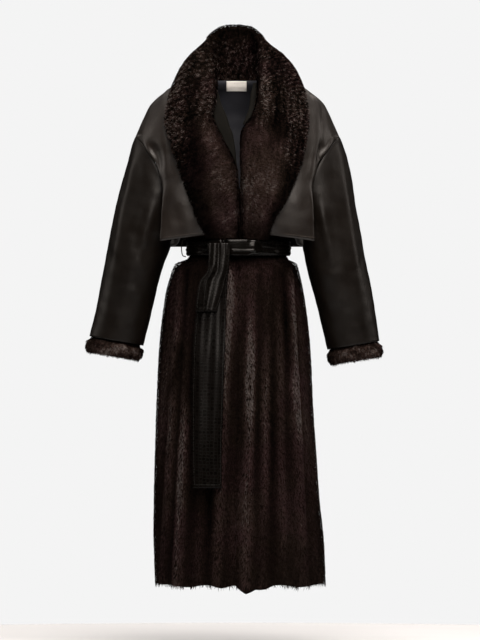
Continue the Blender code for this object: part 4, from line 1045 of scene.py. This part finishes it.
def collar_painted_light(grid, side):
    """The painted light and shade of the collar's pile at each point of its grid."""
    rows = between(COLLAR_PAINTED_LIGHT[side], np.clip(grid[..., 2], -0.40, 0.060))
    x = abs(grid[..., 0])
    light = rows[..., 1].copy()
    for k in (0, 2, 4):
        t = smooth_step((x - rows[..., k]) / np.maximum(rows[..., k + 2] - rows[..., k], 0.004))
        light = light + (rows[..., k + 3] - rows[..., k + 1]) * t
    # Behind the neck it is drawn at one middle tone.
    behind_neck = smooth_step((grid[..., 1] + 0.01) / 0.03)
    light = np.clip(light + (0.26 - light) * behind_neck + 0.10 * ripple(grid, 0.05, 7), 0, 0.9)
    # Painted shade along the top of the roll.
    return light * (1 - 0.7 * smooth_step((grid[..., 2] - 0.100) / 0.030))


def glint_places(grid):
    """Where the collar gets painted glints, as scattered light locks, on its rolls over the
    shoulders and round the neck.
    """
    x, z = abs(grid[..., 0]), grid[..., 2]
    wide = smooth_step((x - 0.105) / 0.02) * smooth_step((z + 0.30) / 0.15)
    upper = smooth_step((z + 0.13) / 0.06)
    return np.clip(wide + 0.8 * upper, 0, 1) * smooth_step((0.135 - z) / 0.04)


# The collar is sewn to the fur fronts, and its outer edge lies on the leather.
under = {side: surface_of(body_tips["front_" + side][0]) for side in SIGN}
over = {side: surface_of(fronts[side]) for side in SIGN}
behind = surface_of(whole_back)
for side, sign in SIGN.items():
    stations = np.array([collar_section(row, side) for row in COLLARS[side]])
    grid = curve_through(stations, (5, 5, 3, 3, 3, 3, 5, 5, 6, 5, 4))
    grid = curve_through(grid.swapaxes(0, 1), [6] * (len(stations) - 1)).swapaxes(0, 1)
    grid[0, :, 0] = sign * SEAM / 2
    out = across(grid, sign)
    skin = grid - out * COLLAR_PILE
    cloth = shell(f"collar_{side}_backing", f"collar_{side}", skin,
                  grid - out * COLLAR_BACK, fur_backing)
    down_fall = unit(np.gradient(grid, axis=1))
    over_roll = (np.arange(grid.shape[1]) < COLLAR_ROLL_COLUMNS)[None, :, None]
    lay = np.where(over_roll, down_fall * 0.5 + 0.8 * DOWN, down_fall * 0.75 + 0.65 * DOWN)
    # Painted light and shade over the collar's pile.
    light = collar_painted_light(grid, side)
    # Painted glints as scattered light locks where fleck is raised on the rolls.
    locks = grow(f"collar_{side}_fur", skin, out, lay, light, COLLAR_LOCKS, COLLAR_LONG,
                 COLLAR_WIDE, COLLAR_PILE, sway=24, curl=0.0025,
                 fleck=0.09 + 0.26 * glint_places(grid), seed=61 + sign)


# The back lining of black acetate satin, sewn in along the neck seam, and the blank woven label
# that is stitched to it at its two ends.

LINING_DEPTH = 0.30
LINING_GAP = 0.0012
LINING_INSET = 0.010
LINING_EASE = 0.0009
LABEL = (0.050, 0.025, 0.0008)
LABEL_TOP = -0.0025
LABEL_GAP = 0.0005
LABEL_SHIFT = -0.0025
LABEL_STITCH = (0.0030, 0.0022, 0.0005)
SATIN = 0.0006

grid, out = body_tips["back"]
# It covers the middle of the back, down to its depth.
rows = int((grid[:, 60, 2] > -LINING_DEPTH).sum())
inside = (grid - out * LINING_INSET)[:rows, 16:-16]
inside_out = out[:rows, 16:-16]
pull = 0.0008 * ripple(inside, 0.05, 9) * smooth_step(-(inside[..., 2] + 0.01) / 0.03)
face = inside - inside_out * (LINING_GAP + SATIN + LINING_EASE + pull)[..., None]
lining = shell("back_lining_satin", "back_lining", face + inside_out * SATIN, face,
               black_satin)

# A damask-woven polyester label: bright white, with fine ribs across and a soft satin sheen.
# Its picks are 0.2 mm apart. They are drawn at 0.8 mm so that they show at all.
woven_label = patterned(
    "damask_woven_polyester_label", {"Roughness": 0.55, "Sheen Weight": 0.2},
    ("ShaderNodeTexWave", {"Scale": 390.0, "bands_direction": "Y", "Distortion": 0.6}),
    [(0.1, "#D6D5D2"), (0.8, "#E6E5E2")], relief=(0.3, 0.0004), on_cloth=True)[0]

width, tall, thick = LABEL
lining_face = surface_of(face)
x = LABEL_SHIFT + width * (np.linspace(0, 1, 26) - 0.5)
z = LABEL_TOP - tall * np.linspace(0, 1, 14)
label_grid = np.array([[lining_face.ray_cast((a, 0, b), (0, 1, 0))[0] for a in x] for b in z])
label_grid[..., 1] -= LABEL_GAP + thick
# A folded label is fuller along its top and bottom folds than in its middle.
label_grid[..., 1] -= 0.0003 * np.cos(np.linspace(-1, 1, 14) * QUARTER * 2)[:, None]**2
label = shell("neck_label_cloth", "neck_label", label_grid,
              label_grid + [0, thick * 0.8, 0], woven_label)
rows = [stitches(f"neck_label_stitches_{end}", label_grid[1:-1, column],
                 np.broadcast_to([0.0, -1.0, 0.0], label_grid[1:-1, column].shape), LABEL_STITCH,
                 top_thread) for end, column in (("left", 1), ("right", -2))]


# The facings. On the real coat they are narrow strips of black twill, sewn on along the inner
# edges of the lapels and turned back, so they show as a smooth dark band beside the fur.

FACINGS = metres({
    "left": (
        # height, x where it shows last, x at the lapel, depth to the front
        (-30, -50, -58, 66), (-65, -40, -56, 80), (-90, -30, -56, 90), (-115, -22, -50, 98),
        (-140, -13, -36, 104), (-180, -6, -20, 112), (-225, -1, -10, 119),
    ),
    "right": (
        (-10, 40, 56, 50), (-40, 34, 50, 66), (-70, 30, 44, 80), (-95, 22, 34, 92),
        (-115, 14, 24, 100),
    ),
})
FACING_RETURN = 0.016
FACING_BEND = 0.002
FACING_THICK = 0.0008
FACING_UNDER = 0.005

# A dull brown-black twill tape: its fine slanted ribs take the light away.
# Twill ribs are 0.5 mm apart. They are drawn at 1.5 mm so that they show.
facing_twill = patterned(
    "brown_black_twill_tape", {"Roughness": 0.8, "Specular IOR Level": 0.06},
    ("ShaderNodeTexWave", {"Scale": 210.0, "bands_direction": "DIAGONAL"}),
    [(0.2, "#070706"), (0.8, "#100F0C")], relief=(0.3, 0.0004), on_cloth=True)[0]

for side, table in FACINGS.items():
    sign = SIGN[side]
    place = np.linspace(table[0][0], table[-1][0], 60)
    rows = []
    for height, x_show, x_lapel, depth in zip(place, *between(table, place).T):
        x_bend = x_show + sign * FACING_BEND
        rows.append([(x_lapel + sign * FACING_UNDER, -depth, height),
                     (x_bend, -depth - FACING_BEND / 2, height),
                     (x_show, -depth + 2 * FACING_BEND, height),
                     (x_bend, -depth + FACING_RETURN, height)])
    grid = curve_through(np.array(rows), (6, 4, 6))
    out = across(grid, sign)
    grid = grid + out * (0.0005 * ripple(grid, 0.04, 12))[..., None]
    strip = shell(f"facing_{side}_strip", f"facing_{side}", grid,
                  grid - out * FACING_THICK, facing_twill)


# The sash belt. On the real coat it is a long strip of soft leather, plated with a square croc
# pattern under heat and finished glossy. It is gathered round the waist and tied in front.

BELT_RING = (0.1275, 0.109, 0.106, 0.0025, 2.2)
BELT_TOP = -0.402
BELT_HEIGHT = 0.040
SASH_THICK = 0.0006
BELT_FOLDS = (0.0000, 0.0034, 0.0022, 0.0044, 0.0026, 0.0034, 0.0000)
KNOT = metres((
    # x, top z, bottom z, thickness
    (-76, -408, -436, 4), (-66, -404, -439, 11), (-40, -402, -440, 14), (-12, -402, -440, 14),
    (16, -402, -441, 12), (44, -401, -440, 9), (62, -402, -434, 3),
))
KNOT_BACK = 0.117
KNOT_CURVE = 1.6
KNOT_ROUND = 0.075
KNOT_CREASES = (
    # share of the thickness, x, lean, half width; the sash goes over and under at the first
    (0.45, -0.028, -0.35, 0.0045), (0.20, 0.056, 0.5, 0.005),
)
BELT_ENDS = metres({
    "belt_short_end": (
        # height, left x, right x, depth to the front
        (-410, -70, -20, 139), (-430, -71, -19, 142), (-450, -72, -20, 143), (-477, -74, -23, 145),
        (-505, -93, -30, 149), (-530, -99, -36, 154), (-556, -102, -44, 158),
        (-581, -104, -52, 161),
    ),
    "belt_long_end": (
        (-443, -68, -22, 125), (-470, -70, -21, 131), (-510, -84, -25, 138), (-560, -98, -27, 146),
        (-620, -106, -29, 153), (-700, -111, -32, 162), (-800, -113, -35, 169),
        (-900, -113, -38, 176), (-970, -112, -39, 180), (-1020, -111, -39, 182),
    ),
})
END_WAVE = 0.0015
END_CURVE = 0.002
BELT_THICK = 0.0018
BELT_STITCH = (0.0042, 0.0030, 0.0005)
# The plate's scales are 9.5 mm across and 8.5 mm high.
SCALE_WIDE, SCALE_HIGH = 0.0095, 0.0085

# Plated leather with a glazed resin finish: mirror-like on the crown of each scale, with a matt
# dark groove round it, and fine creases across the scales.
croc_leather, tree, shader = new_material(
    "glazed_plate_embossed_leather",
    {"IOR": 1.5, "Specular IOR Level": 0.06, "Coat Weight": 0.02, "Coat Roughness": 0.12})
spot = node(tree, "ShaderNodeUVMap", {"uv_map": "metres"})
stretch = node(tree, "ShaderNodeMapping", {"Scale": (1 / SCALE_WIDE, 1 / SCALE_HIGH, 1)},
               {"Vector": spot.outputs["UV"]})
grooves = node(tree, "ShaderNodeTexVoronoi", {"feature": "DISTANCE_TO_EDGE", "Scale": 1.0,
                                              "Randomness": 0.38, "voronoi_dimensions": "2D"},
               {"Vector": stretch.outputs["Vector"]})
crown = node(tree, "ShaderNodeMapRange", {1: 0.0, 2: 0.17, 3: 0.0, 4: 1.0,
                                          "interpolation_type": "SMOOTHSTEP"},
             {0: grooves.outputs["Distance"]})
tone = node(tree, "ShaderNodeTexVoronoi", {"Scale": 1.0, "Randomness": 0.38,
                                           "voronoi_dimensions": "2D"},
            {"Vector": stretch.outputs["Vector"]})
lean = node(tree, "ShaderNodeSeparateColor", links={0: tone.outputs["Color"]})
scale_tone = node(tree, "ShaderNodeValToRGB", {"stops": [(0.0, "#050403"), (1.0, "#0B0908")]},
                  {0: lean.outputs["Red"]})
groove_tone = node(tree, "ShaderNodeMix", {"data_type": "RGBA", 6: linear("#040302")},
                   {0: crown.outputs["Result"], 7: scale_tone.outputs["Color"]})
creases = node(tree, "ShaderNodeTexNoise", {"Scale": 160.0, "Detail": 4.0, "Distortion": 0.5},
               {"Vector": spot.outputs["UV"]})
relief = node(tree, "ShaderNodeMath", {"operation": "MULTIPLY_ADD", 1: 0.12},
              {0: creases.outputs["Fac"], 2: crown.outputs["Result"]})
plate = node(tree, "ShaderNodeBump", {"Strength": 0.26, "Distance": 0.0003},
             {"Height": relief.outputs["Value"]})
glaze = node(tree, "ShaderNodeMapRange", {1: 0.0, 2: 1.0, 3: 0.40, 4: 0.22},
             {0: crown.outputs["Result"]})
join(tree, shader, {"Base Color": groove_tone.outputs[2], "Normal": plate.outputs["Normal"],
                    "Roughness": glaze.outputs["Result"]})

# Where the sash is pulled tight round the waist and in the knot, its scales are stretched flat.
tight_leather = again(croc_leather, "glazed_leather_pulled_tight",
                      {(plate.name, "Strength"): 0.04,
                       ("Principled BSDF", "Specular IOR Level"): 0.10})
# The knot is rubbed to a higher gloss than the rest.
knot_leather = again(tight_leather, "glazed_leather_at_the_knot",
                     {("Principled BSDF", "Specular IOR Level"): 0.14,
                      (glaze.name, 3): 0.22, (glaze.name, 4): 0.13})

# Round the waist the sash is gathered into folds, which drift up and down a little.
down = np.linspace(0, 1, 32)
turns = 2 * math.pi * np.arange(200) / 200
drift = 0.10 * np.sin(2 * turns + 0.6) + 0.06 * np.sin(5 * turns)
folds = [(k / (len(BELT_FOLDS) - 1), fold) for k, fold in enumerate(BELT_FOLDS)]
drifted = down[:, None] + drift * np.sin(math.pi * down)[:, None]
level = np.tile(BELT_RING, (32, 200, 1))
level[..., :3] += SASH_THICK + between(folds, np.clip(drifted, 0, 1))
height = np.broadcast_to((BELT_TOP - BELT_HEIGHT * down)[:, None, None], (32, 200, 1))
grid = np.concatenate([ring(level, turns), height], -1)
out = closed_across(grid, 1)
wrap = shell("belt_wrap_sash", "belt_wrap", grid, grid - out * SASH_THICK,
             tight_leather, True)

# The knot: the sash folded over itself, with pleats that run into it from the gathered end.
x = np.linspace(KNOT[0][0], KNOT[-1][0], 96)
top, bottom, thick = between(KNOT, x).T
thick = thick + 0.003 * np.exp(-((x - 0.046) / 0.013)**2)
turn = np.linspace(0, 2 * math.pi, 64, endpoint=False)
pleats = (1 + 0.003 * np.cos(7 * turn[None] + 10 * x[:, None])
          + 0.002 * np.cos(13 * turn[None] - 30 * x[:, None]))
# It is flat in front up to its right end, which turns up to the light.
flat = 0.05 + 0.37 * smooth_step((x[:, None] - 0.024) / 0.014)
bulge = np.cos(turn).clip(0)[None]**flat * thick[:, None] * pleats
for deep, at, lean, half in KNOT_CREASES:
    bulge *= 1 - deep * np.exp(-((x[:, None] - at - lean * (np.sin(turn) * 0.02)) / half)**2)
# A sharp fold runs along its lower half.
fold_run = smooth_step((x[:, None] + 0.020) / 0.010) * smooth_step((0.055 - x[:, None]) / 0.014)
bulge *= 1 + 0.11 * fold_run * np.exp(-((np.sin(turn)[None] + 0.43) / 0.09)**2)
away = (KNOT_BACK - KNOT_CURVE * x**2)[:, None]
grid = np.stack([np.broadcast_to(x[:, None], bulge.shape), -away - bulge,
                 ((top + bottom) / 2)[:, None] + ((top - bottom) / 2)[:, None] * np.sin(turn)], -1)
knot = solid("belt_knot_wraps", grid, tube(96, 64, turned=True), knot_leather)
marks = np.stack(np.broadcast_arrays(KNOT_ROUND * np.arange(64) / 64, x[:, None]), -1)
mark_cloth(knot.data, marks.reshape(-1, 2))
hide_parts("belt_knot")

# Its edges are sewn with black thread that hardly shows.
black_thread = again(top_thread, "black_bonded_polyester_thread", {}, plied,
                     ("#070605", "#151210"))

# The two ends: a doubled strip, turned and glued at its edges, that keeps the fold of the knot.
for name, table in BELT_ENDS.items():
    place = np.linspace(table[0][0], table[-1][0], int((table[0][0] - table[-1][0]) / 0.004))
    left, right, depth = between(table, place).T
    share = np.linspace(0, 1, 40)
    grid = np.stack([left[:, None] + (right - left)[:, None] * share,
                     -depth[:, None] + 0.8 * END_WAVE * np.cos(4 * math.pi * share)
                     + END_CURVE * (2 * share - 1)**2,
                     np.broadcast_to(place[:, None], (len(place), 40))], -1)
    run = (place[0] - place)[:, None]
    gather = np.exp(-run / 0.06) * 0.14
    pleats = (np.cos(2 * math.pi * (share * 3.1 + 0.15)) + 0.5 * np.cos(2 * math.pi * share * 5.3)
              + 0.6 * ripple(np.stack(np.broadcast_arrays(share * 0.05, run, 0), -1), 0.03, 13))
    grid[..., 1] -= 0.0042 * gather * pleats
    grid[..., 1] -= 0.0016 * np.sin(run / 0.07 + 3 * share) * smooth_step(run / 0.1)
    if name == "belt_short_end":
        grid[..., 1] -= 0.006 * smooth_step(run / 0.06)
        fold = np.exp(-((share[None] - (0.10 + run * 1.6)) / 0.07)**2)
        grid[..., 1] -= 0.004 * fold * smooth_step((run - 0.05) / 0.03)
    out = across(grid)
    end = shell(name + "_sash", name, grid, grid - out * BELT_THICK,
                croc_leather)
    path, up = (np.concatenate([field[3:-3, 2], field[-3, 3:-3], field[3:-3, -3][::-1]])
                for field in (grid, out))
    row = stitches(name + "_stitches", path, up, BELT_STITCH, black_thread)


# The loop that carries the belt at the left side seam. On the real coat it is a short chain of
# crocheted black thread, sewn in above and below the belt, and it bows out clear of it.

LOOP_STAND = 0.004
LOOP_SHOULDER = 0.0028
LOOP_REACH = 0.002
LOOP_BACK = 0.002
LOOP_SLACK = 0.0050
# Two strands twist round each other, one turn to 3 mm.
LOOP_TURNS = 16
STRAND_APART, STRAND_THICK = 0.0006, 0.0009
edge = BELT_RING[3] - BELT_RING[0] - max(BELT_FOLDS) - 0.002
top, bottom = BELT_TOP + LOOP_REACH, BELT_TOP - BELT_HEIGHT - LOOP_REACH
shoulder = edge - LOOP_SHOULDER - 0.7 * LOOP_SLACK
path = curve_through(np.array([[(edge + LOOP_BACK, 0, top), (shoulder, 0, top - LOOP_STAND),
                                (edge - LOOP_STAND - LOOP_SLACK, 0, (top + bottom) / 2),
                                (shoulder, 0, bottom + LOOP_STAND),
                                (edge + LOOP_BACK, 0, bottom)]]), (24, 24, 24, 24))[0]
along = unit(np.gradient(path, axis=0))
back = np.array([0.0, 1.0, 0.0])
out = np.cross(along, back)
turn = 2 * math.pi * np.arange(8)[:, None] / 8
strands, faces = [], []
for strand in (0, 1):
    wind = (np.arange(len(path)) / len(path) * 2 * LOOP_TURNS * math.pi
            + strand * math.pi)[:, None]
    middle = path + STRAND_APART * (out * np.cos(wind) + back * np.sin(wind))
    strands.append(middle[:, None] + STRAND_THICK * (out[:, None] * np.cos(turn)
                                                     + back * np.sin(turn)))
    faces += tube(len(path), 8, strand * len(path) * 8)
loop = solid("belt_loop_left_thread", np.concatenate(strands), faces, top_thread)
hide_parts("belt_loop_left")


# The studio: a pale floor under the coat, a pale surround and soft light from both front sides,
# with a weaker one from above and behind that draws the tips of the fur.

turns = 2 * math.pi * np.arange(96) / 96
FLOOR_RADIUS, FLOOR_BELOW_HEM = 1.6, 0.16
# Matt floor paint: pale and even, without any reflection of the coat.
pale = patterned("matt_white_painted_floor", {"Roughness": 0.8},
                 ("ShaderNodeTexNoise", {"Scale": 3.0, "Detail": 4.0}),
                 [(0.3, "#BFC2C6"), (0.7, "#C2C5C9")])[0]
floor = solid("floor", FLOOR_RADIUS * np.stack([np.cos(turns), np.sin(turns), 0 * turns], -1),
              [list(range(96))], pale)
floor.location.z = HEM - FLOOR_BELOW_HEM

# The surround looks as pale as the floor. It lights the coat as a studio with a bright ceiling
# and dim walls does, so upward faces shine and the leather's sides stay dark.
world = bpy.data.worlds.new("pale_surround")
world.use_nodes = True
tree = world.node_tree
seen = tree.nodes["Background"]
seen.inputs["Color"].default_value = linear("#F4F4F4")
way_up = node(tree, "ShaderNodeTexCoord")
height = node(tree, "ShaderNodeSeparateXYZ", links={0: way_up.outputs["Generated"]})
dome = node(tree, "ShaderNodeValToRGB",
            {"stops": [(0.0, "#262523"), (0.30, "#302F2D"), (0.62, "#B4B1AE")]},
            {0: height.outputs["Z"]})
studio = node(tree, "ShaderNodeBackground", {"Strength": 0.9}, {"Color": dome.outputs["Color"]})
ray = node(tree, "ShaderNodeLightPath")
both = node(tree, "ShaderNodeMixShader", links={0: ray.outputs["Is Camera Ray"],
                                                1: studio.outputs["Background"],
                                                2: seen.outputs["Background"]})
join(tree, tree.nodes["World Output"], {"Surface": both.outputs["Shader"]})
bpy.context.scene.world = world
bpy.context.scene.view_settings.view_transform = "Standard"

MIDDLE = (0.0, 0.0, -0.55)
LAMPS = (
    # name, place, size, watts
    ("front_above", (0.5, -2.5, 3.2), 2.0, 265),
    ("front_soft", (0.2, -3.4, 0.75), 1.4, 60),
    ("side_left", (-3.4, 0.2, 0.6), 1.8, 20),
    ("side_right", (3.4, 0.2, 0.6), 1.8, 24),
    ("overhead", (0.1, -0.3, 2.4), 2.0, 38),
    ("back_above", (0.2, 2.7, 2.7), 2.0, 150),
)
for name, place, size, watts in LAMPS:
    light = bpy.data.lights.new(name, "AREA")
    light.shape = "SQUARE"
    light.size = size
    light.energy = watts
    light.color = linear("#FFF4EA")[:3]
    lamp = bpy.data.objects.new(name, light)
    lamp.location = place
    aim = Vector(MIDDLE) - Vector(place)
    lamp.rotation_euler = aim.to_track_quat("-Z", "Y").to_euler()
    bpy.context.collection.objects.link(lamp)

VIEW_HIGH, CAMERA_AWAY, FRONT_FACE = 1.6, 20.0, -0.05
VIEW_CENTRE = (0.00625, -0.6025)
camera = bpy.data.cameras.new("camera")
camera.sensor_fit = "AUTO"
camera.sensor_width = 36
camera.lens = 36 * CAMERA_AWAY / VIEW_HIGH
viewer = bpy.data.objects.new("camera", camera)
viewer.location = (VIEW_CENTRE[0], FRONT_FACE - CAMERA_AWAY, VIEW_CENTRE[1])
viewer.rotation_euler = (math.pi / 2, 0, 0)
bpy.context.collection.objects.link(viewer)
bpy.context.scene.camera = viewer
